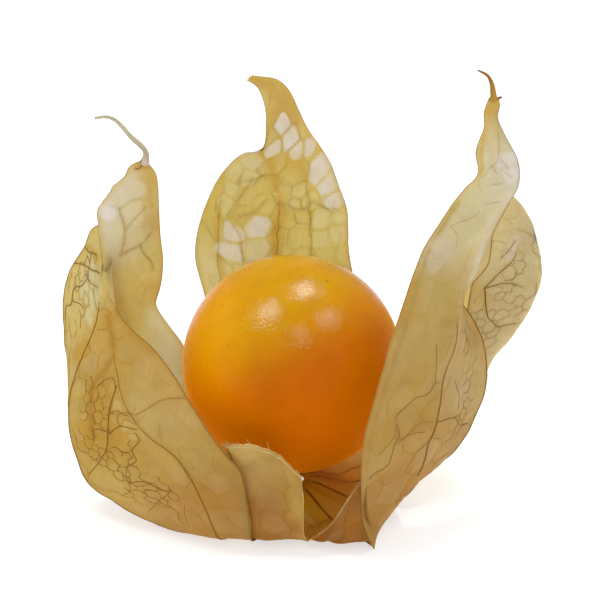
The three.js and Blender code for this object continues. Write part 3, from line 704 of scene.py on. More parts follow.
# %% Looks of the back left sepal
FORK = [(1.37, 0.88), (1.16, 0.833), (1.33, 0.775)]
LEFT_TWIG = [(1.16, 0.833), (0.74, 0.866), (0.42, 0.89)]
CROSSING = [(1.37, 0.775), (0.98, 0.789), (0.67, 0.799), (0.28, 0.828)]
LOW_TWIG = [(0.67, 0.799), (0.46, 0.77), (0.28, 0.742)]
lay_out(
    "sepal_back_left", open=3.0, shown=0.4, net_dark=-0.1, net_shade=MOSS, halo=0.12, pale=0.25, light=0.8,
    bare=[(1.9, 0.8, 1.6, 3.0)],
    shades=[
        (WHITISH, (1.65, 0.9), (1.2, 0.87), (1.6, 0.84), (1.4, 0.95)),
        (PARCHMENT, (1.0, 0.81), (1.5, 0.79)),
        (TAN, (0.4, 0.98), (0.2, 0.955)),
        (SAND, (0.4, 0.9)),
        (KHAKI, (1.85, 0.74), (0.35, 0.78), (1.8, 0.67)),
        (PALE_STRAW, (0.75, 0.71), (1.1, 0.67), (0.15, 0.7)),
        (HONEY, (0.1, 0.85), (1.0, 0.1)),
        # painted light over the shade at the tongue's base
        (NEAR_WHITE_LIT, (0.1, 0.6), (0.18, 0.545), (0.14, 0.5)),
        (CREAM, (0.3, 0.57)),
        (OLIVE, (0.8, 0.6)),
        (STRAW, (1.0, 0.4)),
        (MOSS, (0.08, 0.9)),
    ],
    bands=[
        (0.45, DARK_OCHRE, 0.7, [(0.5, 0.99), (1.6, 0.985)]),
        (0.3, MOSS, 0.6, [(0.45, 0.98), (0.3, 0.93), (0.35, 0.9)]),
        (0.22, MOSS, 0.4, FORK),
        (0.22, MOSS, 0.3, LEFT_TWIG),
        (0.22, MOSS, 0.4, CROSSING),
        (0.22, MOSS, 0.4, LOW_TWIG),
        (0.22, MOSS, 0.25, [(1.37, 0.88), (0.98, 0.9), (0.63, 0.909), (0.28, 0.904)]),
    ],
    loose=[
        (1.2, 0.92, 0.9, 0.9, WHITISH, 0.5), (1.75, 0.868, 0.5, 0.5, MILK, 0.9),
        (0.9, 0.875, 0.8, 0.8, PARCHMENT, 0.5),
    ],
    ribs={0: (0.1, 0.08, 0.2, 1), 2: (0.08, 0.08, 0.15, 1)},
    veins=[
        (0.1, 0.1, 0.1, FORK),
        (0.08, 0.08, 0.08, LEFT_TWIG),
        (0.1, 0.08, 0.12, CROSSING),
        (0.1, 0.08, 0.12, LOW_TWIG),
        (0.08, 0.06, 0.08, [(1.9, 0.883), (1.37, 0.88), (0.98, 0.9), (0.63, 0.909)]),
        (0.1, 0.08, 0.5, [(1.6, 0.975), (1.2, 0.978), (1.0, 0.99)]),
        (0.1, 0.05, -0.8, [(0.2, 0.893), (0.3, 0.883)]),
    ],
)

# %% [markdown]
# ## Looks of the back sepal
# Many of its cells have come loose and turned milky, one beside the other, with mossy bands between them.

# %% Looks of the back sepal
SLANT = [(2.7, 0.756), (2.87, 0.718), (3.15, 0.675)]
HIGH_BRIDGE = [(3.21, 0.748), (2.7, 0.756), (2.37, 0.765)]
LOW_BRIDGE = [(2.82, 0.675), (2.48, 0.684), (2.2, 0.709)]
LONG_BRIDGE = [(1.69, 0.692), (1.3, 0.679), (1.01, 0.688), (0.62, 0.671), (0.17, 0.658)]
lay_out(
    "sepal_back", open=2.1, shown=0.8, net_dark=-0.2, net_shade=MOSS, halo=0.22, pale=0.45, light=0.88,
    shades=[
        (OLIVE, (2.0, 0.7), (1.4, 0.64), (3.66, 0.66), (2.1, 0.72), (1.1, 0.69), (0.34, 0.57), (1.0, 0.59),
            (2.0, 0.45)),
        (TAN, (0.95, 0.89), (1.8, 0.93)),
        (MOSS, (2.6, 0.97), (1.0, 0.95)),
        (SAND, (3.4, 0.94), (3.4, 0.79)),
        (PALE_STRAW, (3.3, 0.73), (0.4, 0.63)),
        (CREAM, (3.9, 0.57)),
        (STRAW, (1.6, 0.78), (0.5, 0.35), (3.5, 0.35)),
        (HONEY, (2.0, 0.1)),
    ],
    bands=[
        (0.35, OCHRE, 0.75, [(3.5, 0.7), (3.42, 0.637), (3.27, 0.594), (3.21, 0.55)]),
        (0.5, OCHRE, 0.9, [(3.0, 0.82), (2.45, 0.8), (2.2, 0.77), (2.03, 0.744), (1.86, 0.684),
            (2.03, 0.628), (2.03, 0.58)]),
        (0.6, DARK_OCHRE, 0.8, [(2.0, 0.64), (2.03, 0.58)]),
        (0.9, OCHRE, 0.45, [(2.4, 0.79), (1.5, 0.78)]),
        (0.3, OCHRE, 0.6, [(1.25, 0.78), (1.18, 0.748), (1.18, 0.714), (1.13, 0.675), (1.18, 0.585)]),
        (0.35, OCHRE, 0.5, [(2.93, 0.658), (2.7, 0.615), (2.65, 0.573)]),
        (0.25, MOSS, 0.45, SLANT),
        (0.25, MOSS, 0.4, HIGH_BRIDGE),
        (0.25, MOSS, 0.4, LOW_BRIDGE),
        (0.2, MOSS, 0.5, LONG_BRIDGE),
        (0.4, TAN, 0.5, [(2.0, 0.96), (1.6, 0.88), (1.2, 0.84)]),
        (1.5, HONEY, 0.45, [(2.0, 0.99), (1.6, 0.94), (1.1, 0.89)]),
    ],
    loose=[
        (2.98, 0.622, 0.9, 2.1, MILK, 0.8), (2.4, 0.65, 1.3, 1.3, MILK, 0.8),
        (2.38, 0.605, 1.2, 1.2, PARCHMENT, 0.9), (3.15, 0.8, 0.8, 0.8, PARCHMENT, 0.7),
        (3.21, 0.762, 1.2, 0.6, CREAM, 0.75), (3.27, 0.714, 0.7, 1.1, CREAM, 0.55),
        (1.97, 0.868, 0.6, 0.7, MILK, 0.8), (1.41, 0.829, 0.8, 0.7, MILK, 0.8),
        (2.42, 0.822, 0.5, 0.5, MILK, 0.7), (0.9, 0.802, 0.8, 0.5, MILK, 0.7),
        (0.56, 0.75, 1.2, 0.9, MILK, 0.9), (0.34, 0.7, 0.8, 1.3, MILK, 0.85),
        (1.41, 0.714, 0.65, 0.9, CREAM, 0.5), (1.35, 0.69, 0.9, 0.6, CREAM, 0.45),
        (0.85, 0.655, 0.7, 0.9, CREAM, 0.7), (0.28, 0.637, 0.6, 0.9, CREAM, 0.7),
        (0.85, 0.611, 0.8, 0.8, CREAM, 0.6), (3.61, 0.55, 0.6, 1.2, CREAM, 0.6),
    ],
    ribs={0: (0.08, 0.06, 0.3, 1), 4: (0.08, 0.06, 0.3, 1)},
    veins=[
        (0.07, 0.05, -0.1, SLANT),
        (0.07, 0.05, -0.1, HIGH_BRIDGE),
        (0.07, 0.05, -0.1, LOW_BRIDGE),
        (0.07, 0.05, 0.12, LONG_BRIDGE),
        (0.08, 0.06, -0.1, [(3.45, 0.3), (3.3, 0.6), (3.5, 0.7)]),
        (0.1, 0.06, -0.1, [(2.0, 0.3), (2.0, 0.6), (1.9, 0.7)]),
        (0.08, 0.06, -0.1, [(1.1, 0.3), (1.15, 0.6), (1.18, 0.74)]),
        (0.08, 0.06, -0.1, [(2.7, 0.3), (2.7, 0.6), (2.93, 0.66)]),
    ],
)

# %% [markdown]
# ## Looks of the back right sepal
# Sand coloured, with a net of small cells near its outer edge and a few branching side veins.

# %% Looks of the back right sepal
lay_out(
    "sepal_back_right", open=1.8, shown=0.7, net_dark=0.5, halo=0.25, pale=0.15, light=1.1,
    close=[
        (0.4, 0.84, 2.0, 3.2, 0.9), (0.35, 0.71, 2.6, 3.6, 0.8), (0.12, 0.752, 1.3, 1.3, 0.42),
        (0.9, 0.7, 1.6, 3.0, 1.2), (2.5, 0.6, 6.0, 7.0, 1.6),
    ],
    shades=[
        (FAWN, (0.55, 0.9), (0.8, 0.97), (1.0, 0.93)),
        (SAND, (0.55, 0.76), (0.55, 0.67), (0.13, 0.757), (0.7, 0.83), (0.34, 0.83), (0.13, 0.86),
            (1.1, 0.8), (0.45, 0.62), (0.7, 0.69), (2.5, 0.8)),
        (PALE_STRAW, (3.5, 0.6), (3.0, 0.95)),
        (STRAW, (2.0, 0.4)),
        (HONEY, (2.0, 0.1)),
    ],
    bands=[
        (0.8, OCHRE, 0.4, [(0.12, 0.77), (0.2, 0.73)]),
        (0.5, MILK, 0.3, [(0.5, 0.88), (0.4, 0.845)]),
    ],
    ribs={0: (0.12, 0.08, 0.55, 1), 2: (0.24, 0.12, 0.6, 1), 3: (0.18, 0.1, 0.55, 1),
          4: (0.12, 0.08, 0.5, 1)},
    veins=[
        (0.09, 0.06, 0.75, [(0.16, 0.77), (0.35, 0.78), (0.56, 0.775)]),
        (0.09, 0.06, 0.7, [(0.16, 0.77), (0.3, 0.804), (0.44, 0.828), (0.5, 0.85)]),
        (0.12, 0.1, 0.85, [(0.18, 0.768), (0.23, 0.735), (0.3, 0.7)]),
        (0.1, 0.06, 0.75, [(0.3, 0.7), (0.44, 0.68), (0.59, 0.675), (0.79, 0.68)]),
        (0.07, 0.05, 0.7, [(0.49, 0.88), (0.4, 0.856), (0.3, 0.842)]),
        (0.14, 0.08, 0.6, [(2.0, 0.4), (1.5, 0.5), (1.2, 0.6)]),
        (0.14, 0.08, 0.6, [(2.0, 0.5), (2.5, 0.58), (2.9, 0.66)]),
        (0.14, 0.08, 0.6, [(3.0, 0.4), (3.4, 0.48), (3.8, 0.56)]),
    ],
)

# %% [markdown]
# ## Looks of the front right sepal
# Pale above and honey below, with one mossy band down its left edge and a dark vein down its keel.

# %% Looks of the front right sepal
lay_out(
    "sepal_front_right", open=2.4, shown=0.4, net_dark=0.2, halo=0.12, pale=0.2, light=0.765,
    close=[(1.5, 0.5, 1.8, 4.0, 0.9), (1.55, 0.42, 1.8, 2.6, 1.0)],
    shades=[
        (PARCHMENT, (1.0, 0.91), (0.3, 0.74)),
        (CREAM, (0.34, 0.83), (0.5, 0.77), (0.1, 0.86)),
        (SAND, (1.46, 0.7), (1.51, 0.48), (0.2, 0.95), (1.9, 0.74)),
        (OCHRE, (0.09, 0.65), (0.73, 0.44)),
        (KHAKI, (0.49, 0.59), (0.8, 0.65), (0.47, 0.67), (1.7, 0.5)),
        (STRAW, (0.49, 0.49), (0.22, 0.41)),
        (HONEY, (0.65, 0.35), (0.45, 0.27), (0.15, 0.33), (1.0, 0.26), (1.0, 0.1)),
        (TAN, (1.3, 0.38), (0.58, 0.98), (1.9, 0.55), (1.5, 0.41), (1.0, 0.62)),
        (WHITISH, (1.2, 0.86), (1.85, 0.87)),
        (BURNT, (1.0, 0.03)),
    ],
    bands=[
        (0.28, MOSS, 0.75, [(0.12, 0.82), (0.1, 0.792), (0.12, 0.734), (0.15, 0.678), (0.15, 0.64),
            (0.15, 0.599), (0.12, 0.553), (0.1, 0.506)]),
        (0.25, TAN, 0.6, [(0.1, 0.52), (0.08, 0.447), (0.06, 0.392), (0.06, 0.319)]),
        (0.22, OCHRE, 0.7, [(0.26, 0.94), (0.26, 0.904), (0.14, 0.88)]),
        (0.5, STRAW, 0.5, [(0.7, 0.67), (0.85, 0.62)]),
        (0.8, OCHRE, 0.6, [(0.4, 0.98), (1.4, 0.98)]),
        (0.7, WHITISH, 0.6, [(1.5, 0.78), (1.46, 0.72), (1.44, 0.66), (1.4, 0.63)]),
    ],
    loose=[
        (0.32, 0.73, 0.7, 1.2, PARCHMENT, 0.6), (1.5, 0.877, 0.6, 0.9, MILK, 0.6),
        (0.85, 0.775, 0.9, 0.9, CREAM, 0.5), (1.1, 0.845, 0.5, 1.2, PARCHMENT, 0.6),
        (0.97, 0.65, 0.3, 1.2, PALE_STRAW, 0.5),
    ],
    ribs={0: (0.12, 0.07, 0.12, 1), 2: (0.2, 0.1, 0.7, 0.74)},
    veins=[
        (0.08, 0.16, 0.6, [(0.97, 0.611), (1.05, 0.57), (0.97, 0.52), (0.97, 0.462), (0.97, 0.433),
            (0.92, 0.406), (0.97, 0.377), (1.01, 0.34)]),
        (0.08, 0.08, 0.25, [(0.69, 0.579), (0.84, 0.515), (0.92, 0.512)]),
        (0.08, 0.07, 0.25, [(0.84, 0.515), (0.75, 0.494), (0.58, 0.491), (0.41, 0.471), (0.34, 0.459)]),
        (0.08, 0.09, 0.35, [(0.39, 0.45), (0.43, 0.418), (0.32, 0.383), (0.13, 0.363)]),
        (0.07, 0.06, 0.3, [(0.45, 0.418), (0.56, 0.43), (0.82, 0.43)]),
        (0.05, 0.04, 0.05, [(1.33, 0.942), (1.14, 0.898), (0.73, 0.883)]),
        (0.04, 0.04, 0.05, [(1.14, 0.898), (1.51, 0.874)]),
        (0.09, 0.05, 0.2, [(2.0, 0.735), (2.0, 0.85), (2.0, 0.99)]),
        (0.09, 0.07, 0.5, [(1.0, 0.443), (1.28, 0.436), (1.61, 0.413), (1.89, 0.398)]),
        (0.07, 0.06, 0.5, [(1.28, 0.5), (1.39, 0.466), (1.39, 0.447)]),
    ],
)

# %% [markdown]
# ## Places on a sheet
# Veins and stains are laid out flat, as rib number and share of the way up. This finds the real place
# between the grid's points, and can lift it off the paper's outer face. Projecting a drawing on the sheet
# would smear it where the sheet turns away, and this way it follows every fold.

# %% Places on a sheet
def read(sheet, field, places):
    """What a field of the sheet's points says at places, given as rib number across and share along."""
    rows, columns = field.shape[:2]
    across, along = np.moveaxis(np.asarray(places, float), -1, 0)
    u = np.clip(across / sheet["across"][-1], 0, 1) * (columns - 1)
    v = np.clip(along, 0, 1) * (rows - 1)
    i = np.minimum(u.astype(int), columns - 2)
    j = np.minimum(v.astype(int), rows - 2)
    du, dv = (u - i)[..., None], (v - j)[..., None]
    low = field[j, i] * (1 - du) + field[j, i + 1] * du
    high = field[j + 1, i] * (1 - du) + field[j + 1, i + 1] * du
    return low * (1 - dv) + high * dv


def on_sheet(sheet, places, lift=0.0):
    """Places on a sheet, lifted off its outer face by some mm."""
    return read(sheet, sheet["grid"], places) + read(sheet, sheet["normal"], places) * lift


def spread_flat(sheet, places):
    """The same places on the sheet when it is spread flat, in mm."""
    return read(sheet, sheet["flat"], places)


# %% [markdown]
# ## Shaping the sheets
# Dried paper buckles: it waves gently over several millimetres and wrinkles more finely. Torn edges wander
# in and out. A bump map would fake this in the light only, so all of it moves the grid's own points.

# %% Buckle and tear
BASE_END = 0.16    # share along where the flat base ends
BASE_FADE = 0.1    # and over which the buckles grow
BUCKLES = ((0.28, 5.0), (0.1, 1.9), (0.03, 0.8))  # height and size of the waves, in mm
TEARS = ((1, 0.9), (0.7, 0.35))                   # share of a tear's depth and size of its waves
TEAR_START = 0.08  # share along over which a tear begins
TOP_ROWS = 8       # rows that a torn top moves
SIDE_COLUMNS = 6   # columns that a torn side moves


def outward(grid):
    """The unit direction away from the berry at each point of a grid, evened out over its neighbours."""
    normal = np.cross(np.gradient(grid, axis=1), np.gradient(grid, axis=0))
    normal = np.pad(normal, ((1, 1), (1, 1), (0, 0)), mode="edge")
    normal = normal[:-2] + normal[1:-1] + normal[2:]
    return unit(normal[:, :-2] + normal[:, 1:-1] + normal[:, 2:])


def push(sheet, move):
    """Moves a sheet's points outwards by some mm, but not its flat base, which the husk stands on."""
    free = np.clip((sheet["along"] - BASE_END) / BASE_FADE, 0, 1)[:, None]
    sheet["grid"] = kept_above(sheet["grid"] + outward(sheet["grid"]) * (move * free)[..., None])


def tear(sheet, side, depth, seed, start=0.3):
    """Makes an edge wander. side is top, or last for the edge at the last rib, from a share along."""
    top = side == "top"
    lines = sheet["grid"] if top else sheet["grid"].transpose(1, 0, 2)
    inward = unit(lines[-4] - lines[-1])
    amount = depth * layered(lines[-1], seed, *TEARS)
    if not top:
        amount = amount * np.clip((sheet["along"] - start) / TEAR_START, 0, 1)
    from_edge = np.arange(len(lines))[::-1]
    fading = np.clip(1 - from_edge / (TOP_ROWS if top else SIDE_COLUMNS), 0, 1)[:, None, None]
    moved = lines + fading * (inward * amount[:, None])
    sheet["grid"] = moved if top else moved.transpose(1, 0, 2)


for number, sheet in enumerate(sheets.values()):
    push(sheet, layered(sheet["grid"], 10 * number + 3, *BUCKLES))
tear(sheets["sepal_back_left"], "last", depth=0.22, seed=71)
tear(sheets["torn_piece"], "top", depth=0.16, seed=72)
tear(sheets["torn_piece"], "last", depth=0.12, seed=73, start=0.4)
for sheet in sheets.values():
    sheet["normal"] = outward(sheet["grid"])
print("buckled:", len(sheets), "sheets, torn edges: 3")

# %% [markdown]
# ## The cells of the net
# Between the ribs a husk has a net of finer veins. Leaf veins look like the borders between cells that grew
# towards each other, so the net is made that way. First seeds are scattered over the sheet, closer where
# the net is closer, and none too near another. The loose cells get their seeds before all others, so that
# they have their places. A shader pattern could draw such lines, but real veins stand proud and catch the
# light, so these are geometry.

# %% Scatter the cells
TRIES = 9000
LOWEST_CELL = 0.12          # share along
CELL_CHANGE = (0.75, 1.25)  # how much a cell's size may differ
MEASURED = 0.4              # how far to each side a loose cell's width is measured, in ribs


def oval(sheet, flat, across, along, wide, tall):
    """How far flat places are from the middle of an oval on the sheet: 1 is its edge."""
    return np.linalg.norm((flat - spread_flat(sheet, (across, along))) / (wide, tall), axis=-1)


def spacing_at(sheet, flat):
    """How far apart the net's cells are at flat places on a sheet, in mm."""
    spacing = np.full(flat.shape[:-1], sheet["open"])
    for *place, closer in sheet["close"]:
        spacing = np.where(oval(sheet, flat, *place) < 1, np.minimum(spacing, closer), spacing)
    return spacing


def loose_cells(sheet):
    """The loose cells, as ((across, along), size in mm, colour, strength). A long one is several cells."""
    cells = []
    for across, along, wide, tall, shade, strength in sheet["loose"]:
        size = min(wide, tall)
        count = round(max(wide, tall) / size)
        ends = spread_flat(sheet, ((across - MEASURED, along), (across + MEASURED, along)))
        rib_width = max(np.linalg.norm(ends[1] - ends[0]) / (2 * MEASURED), 1)
        for step in 2 * size * (np.arange(count) - (count - 1) / 2):
            sideways, up = (0, step) if tall > wide else (step, 0)
            place = (across + sideways / rib_width, along + up / sheet["length"])
            cells.append((place, 2 * size, shade, strength))
    return cells


def scatter(sheet, seed):
    """Seeds on a sheet, as rows of rib number and share along, and their spacings."""
    random = np.random.default_rng(seed)
    tries = random.uniform((0, LOWEST_CELL), (sheet["across"][-1], 1), (TRIES, 2))
    spacing = spacing_at(sheet, spread_flat(sheet, tries)) * random.uniform(*CELL_CHANGE, TRIES)
    loose = loose_cells(sheet)
    for k, (place, size, _, _) in enumerate(loose):
        tries[k], spacing[k] = place, size
    flat = spread_flat(sheet, tries)
    kept = []
    for k in range(TRIES):
        near = np.array(kept, int)
        away = np.sum((flat[near] - flat[k]) ** 2, axis=1)
        if k < len(loose) or np.all(away > ((spacing[near] + spacing[k]) / 2) ** 2):
            kept.append(k)
    return tries[kept], spacing[kept]


# %% [markdown]
# ## Swelling the cells
# The paper swells a little inside each cell, because the veins round it dried stiff first. The nearest seed
# says which cell a point is in, and how much further the second nearest is says how far the point is from
# the border. A subdivided cushion for each cell would do the same with many more points.

# %% Swell the cells
SWELL = 0.03         # how far a cell rises, in mm
FULL_SWELL = 1.2     # cells larger than this in mm rise less
SWELL_BORDER = 0.45  # share of a cell's size over which it rises


def finder(places):
    """A search tree over places, which finds the nearest of them quickly."""
    tree = kdtree.KDTree(len(places))
    for k, place in enumerate(places):
        tree.insert(place, k)
    tree.balance()
    return tree


def level(flat):
    """Flat places with a height of 0."""
    return np.pad(flat, ((0, 0), (0, 1)))


for number, (name, sheet) in enumerate(sheets.items()):
    sheet["seeds"], spacing = scatter(sheet, seed=200 + number)
    middles = finder(level(spread_flat(sheet, sheet["seeds"])))
    nearest = [middles.find_n(place, 2) for place in level(sheet["flat"].reshape(-1, 2))]
    shape = sheet["grid"].shape[:2]
    sheet["cell"] = np.array([first[1] for first, _ in nearest]).reshape(shape)
    sheet["border"] = np.array([second[2] - first[2] for first, second in nearest]).reshape(shape)
    size = spacing[sheet["cell"]]
    inside = np.clip(sheet["border"] / size / SWELL_BORDER, 0, 1)
    push(sheet, SWELL * np.minimum(FULL_SWELL / size, 1) * np.sin(inside * math.pi / 2))
    sheet["normal"] = outward(sheet["grid"])
    print(f"{name}: {len(spacing)} cells")

# %% [markdown]
# ## Drawing the veins
# A vein is a course on a sheet, with a thickness and a darkness at each of its places. It is a smooth line
# through its route, and a thin one sways a little, because no vein grows straight.

# %% A vein
VEIN_STEP = 0.3  # how far apart a vein's places are, in mm
SWAY = 0.06      # how far a thin vein sways, in mm
BOW = 1.6        # and how long one bow of it is


def vein(sheet, route, thick, thin, dark, sway=0.0, seed=0):
    """A vein along a route: its course, radii and darkness. thick and thin are its ends' sizes in mm."""
    length = np.linalg.norm(np.diff(on_sheet(sheet, route), axis=0), axis=1).sum()
    count = max(int(length / VEIN_STEP), 2) + 1
    course = smooth_line(route, np.linspace(0, len(route) - 1, count))
    if sway:
        bows = np.sin(math.pi * max(1, round(length / BOW)) * np.linspace(0, 1, count))
        aside = bows[:, None] * np.random.default_rng(seed).normal(0, sway, 2)
        course = course + aside / (sheet["panel_width"], sheet["length"])
    return course, np.linspace(thick, thin, count) / 2, np.full(count, dark)


# %% [markdown]
# ## Three kinds of veins
# The ribs run the whole way up, the side veins follow the routes laid out above, and the net runs along the
# borders of the cells. Neighbouring seeds are found by a triangulation, and a vein of the net joins the
# middles of two triangles that share a side. On a real husk the net shows in some places and is lost in
# others, so it fades.

# %% Ribs, side veins and net
RIB_START = 0.02    # share along
RIB_PLACES = 40
TOO_LONG = 2.2      # triangles longer than this many spacings lie outside the sheet
NET_CLOSE = 0.7     # a spacing below this share of the open one counts as close
THICK_NET = 0.065   # in mm, where the net is close
THIN_NET = 0.05     # and where it is open
CLOSE_SHOWN = 0.92  # share of the close net that shows
NET_THERE = 0.55    # how much of the net is there on the whole
NET_CHANGE = 0.9    # how much that changes
FADE_SIZE = 2.6     # and over how many mm
FAINTEST = 0.12     # the net is lost where less than this is there
THICK_CHANGE = (0.7, 1.25)  # how much the net's veins differ in thickness
DARK_CHANGE = (0.8, 1.2)    # and in darkness
TAPER = (0.7, 1)            # how thick a vein still is at its end
FAINT_THICK = 0.7           # how thick a vein is where the net fades
MORE_THICK = 0.4            # and how much thicker where it is all there


def ribs_of(sheet):
    """The ribs that stand out on a sheet."""
    veins = []
    for number, (thick, thin, dark, end) in sheet["ribs"].items():
        route = [(number, share) for share in np.linspace(RIB_START, end, RIB_PLACES)]
        veins.append(vein(sheet, route, thick, thin, dark))
    return veins


def side_veins(sheet):
    """The side veins of a sheet."""
    return [vein(sheet, route, thick, thin, dark, SWAY, seed=number)
            for number, (thick, thin, dark, route) in enumerate(sheet["veins"])]


def net_lines(sheet):
    """The borders between the cells, as pairs of ends on the sheet."""
    seeds = sheet["seeds"]
    flat = spread_flat(sheet, seeds)
    _, _, triangles, same, _, _ = delaunay_2d_cdt([Vector(place) for place in flat], [], [], 0, 1e-5)
    corners = np.array([[same[k][0] for k in triangle] for triangle in triangles])
    middles = seeds[corners].mean(axis=1)
    size = np.linalg.norm(flat[corners] - np.roll(flat[corners], 1, axis=1), axis=2).max(axis=1)
    slim = size > TOO_LONG * spacing_at(sheet, flat[corners].mean(axis=1))
    sides = {}
    for number, corner in enumerate(corners.tolist()):
        for a, b in zip(corner, corner[1:] + corner[:1]):
            sides.setdefault((min(a, b), max(a, b)), []).append(number)
    return [middles[pair] for pair in sides.values() if len(pair) == 2 and not slim[pair].any()]


def net_veins(sheet, seed):
    """The net. It fades in and out over the sheet, and less of it shows where it is open."""
    random = np.random.default_rng(seed)
    pairs = net_lines(sheet)
    middles = np.array([ends.mean(axis=0) for ends in pairs])
    flat = spread_flat(sheet, middles)
    close = spacing_at(sheet, flat) < NET_CLOSE * sheet["open"]
    fading = NET_THERE + NET_CHANGE * unevenness(on_sheet(sheet, middles), FADE_SIZE, seed)
    shown = np.where(close, CLOSE_SHOWN, sheet["shown"])
    for place in sheet["bare"]:
        shown[oval(sheet, flat, *place) < 1] = 0
    veins = []
    for number, ends in enumerate(pairs):
        if random.random() < shown[number] and fading[number] > FAINTEST:
            thick = THICK_NET if close[number] else THIN_NET
            thick = thick * random.uniform(*THICK_CHANGE) * (FAINT_THICK + MORE_THICK * fading[number])
            dark = sheet["net_dark"] * min(fading[number], 1) * random.uniform(*DARK_CHANGE)
            thin = thick * random.uniform(*TAPER)
            veins.append(vein(sheet, ends, thick, thin, dark, SWAY, 1000 * seed + number))
    return veins


# %% [markdown]
# ## From lines to tubes
# Every vein becomes a thin tube that lies half sunk in the paper. A geometry tree turns bare edges into
# curves, sweeps a small ring along them, closes the ends, and gives the result its material. One tree
# serves every sepal. Sweeping by hand would take more code and leave the ring's size hard to change.

# %% Geometry tree for tubes
LUMPS_PER_METRE = 900.0


def new_tree(name, sockets):
    """An empty geometry tree with named inputs, as the tree, its inputs and its output node."""
    tree = bpy.data.node_groups.new(name, "GeometryNodeTree")
    for label, kind in sockets.items():
        tree.interface.new_socket(name=label, in_out="INPUT", socket_type="NodeSocket" + kind)
    tree.interface.new_socket(name="Result", in_out="OUTPUT", socket_type="NodeSocketGeometry")
    return tree, add_node(tree, "NodeGroupInput").outputs, add_node(tree, "NodeGroupOutput")


def end_tree(tree, given, end, geometry):
    """Ends a tree: smooth shading, real geometry instead of instances, and the material."""
    smooth = add_node(tree, "GeometryNodeSetShadeSmooth", Geometry=geometry)
    real = add_node(tree, "GeometryNodeRealizeInstances", Geometry=smooth.outputs[0])
    dressed = add_node(tree, "GeometryNodeSetMaterial", Geometry=real.outputs[0], Material=given["Material"])
    fill(tree, end, Result=dressed.outputs[0])
    return tree


def maths(tree, operation, first, second=0.0):
    """One sum on two numbers or outputs, and its output."""
    node = add_node(tree, "ShaderNodeMath", {"operation": operation})
    feed(tree, first, node.inputs[0])
    feed(tree, second, node.inputs[1])
    return node.outputs[0]


def noise(tree, per_metre, detail, **inputs):
    """Soft random values from 0 to 1, with so many hills in a metre."""
    return add_node(tree, "ShaderNodeTexNoise", Scale=per_metre, Detail=detail, **inputs).outputs["Fac"]


def tube_tree():
    """Tubes along bare edges, whose radius is kept on their points."""
    tree, given, end = new_tree("tubes_along_lines", {
        "Lines": "Geometry", "Sides": "Int", "Thickness": "Float", "Lumpiness": "Float",
        "Material": "Material"})
    curves = add_node(tree, "GeometryNodeMeshToCurve", Mesh=given["Lines"])
    radius = add_node(tree, "GeometryNodeInputNamedAttribute", Name="radius_m").outputs["Attribute"]
    lumps = maths(tree, "SUBTRACT", noise(tree, LUMPS_PER_METRE, 1.0), 0.5)
    lumps = maths(tree, "ADD", maths(tree, "MULTIPLY", lumps, given["Lumpiness"]), 1.0)
    size = maths(tree, "MULTIPLY", maths(tree, "MULTIPLY", radius, given["Thickness"]), lumps)
    ring = add_node(tree, "GeometryNodeCurvePrimitiveCircle", Resolution=given["Sides"], Radius=1.0)
    tubes = add_node(tree, "GeometryNodeCurveToMesh", Curve=curves.outputs["Curve"],
                     Profile_Curve=ring.outputs["Curve"], Scale=size, Fill_Caps=True)
    return end_tree(tree, given, end, tubes.outputs["Mesh"])


def run_tree(name, mesh, tree, values):
    """Runs a geometry tree on a mesh and keeps the result as a plain mesh object. values are its inputs."""
    source = add_object(name + "_source", mesh)
    modifier = source.modifiers.new("tree", "NODES")
    modifier.node_group = tree
    for item in tree.interface.items_tree:
        if item.item_type == "SOCKET" and item.in_out == "INPUT" and item.name in values:
            modifier[item.identifier] = values[item.name]
    bpy.context.view_layer.update()
    shown = source.evaluated_get(bpy.context.evaluated_depsgraph_get())
    plain = bpy.data.meshes.new_from_object(shown)
    plain.name = name
    source.modifiers.remove(modifier)
    bpy.data.objects.remove(source)
    return add_object(name, plain)


# %% [markdown]
# ## Lines as a mesh
# The lines go into the tree as a mesh of bare edges. Each point carries its own radius and colour, and the
# tubes take both over. A curve object would carry the radius as well, but not the colour.

# %% Lines as a mesh
LOWEST = 0.02  # how far above the floor everything stays, in mm


def to_frame(places):
    """Places in mm from the stalk's axis, as metres in the frame."""
    return (np.asarray(places) + husk_origin) * MM


def keep_colours(mesh, tint):
    """Keeps a colour on every point of a mesh."""
    full = np.pad(tint, ((0, 0), (0, 1)), constant_values=1).astype(np.float32)
    mesh.attributes.new("tint", "FLOAT_COLOR", "POINT").data.foreach_set("color", full.ravel())


def line_mesh(name, lines):
    """Bare edges along lines of (places, radii, colours), with the values kept on each point."""
    edges = []
    first = 0
    for places, radius, _ in lines:
        kept_above(places, radius + LOWEST)
        edges.extend((first + k, first + k + 1) for k in range(len(places) - 1))
        first += len(places)
    places, radius, tint = (np.concatenate(values) for values in zip(*lines))
    mesh = bpy.data.meshes.new(name)
    mesh.from_pydata(to_frame(places).tolist(), edges, [])
    kept = mesh.attributes.new("radius_m", "FLOAT", "POINT").data
    kept.foreach_set("value", (radius * MM).astype(np.float32))
    keep_colours(mesh, tint)
    return mesh


# %% [markdown]
# ## Paper
# The colour of each point of a sheet is worked out below and kept on the point. The material adds mottling
# and fibres that are finer than the points. Light that falls on one side glows through to the other, which
# is what subsurface scattering does in a thin shell. A Translucent shader would do that too, but without
# any softness.

# %% Paper material
MOTTLE_PER_METRE = 420.0
GRAIN_PER_METRE = 2600.0
FIBRE_PER_MM = (3.2, 0.9, 1.0)  # across, along
PAPER_RELIEF = 0.04 * MM
PAPER_GLOW = 1.4 * MM           # how far light spreads in the paper
NOISE_RANGE = (0.3, 0.7)        # most of a noise lies between these


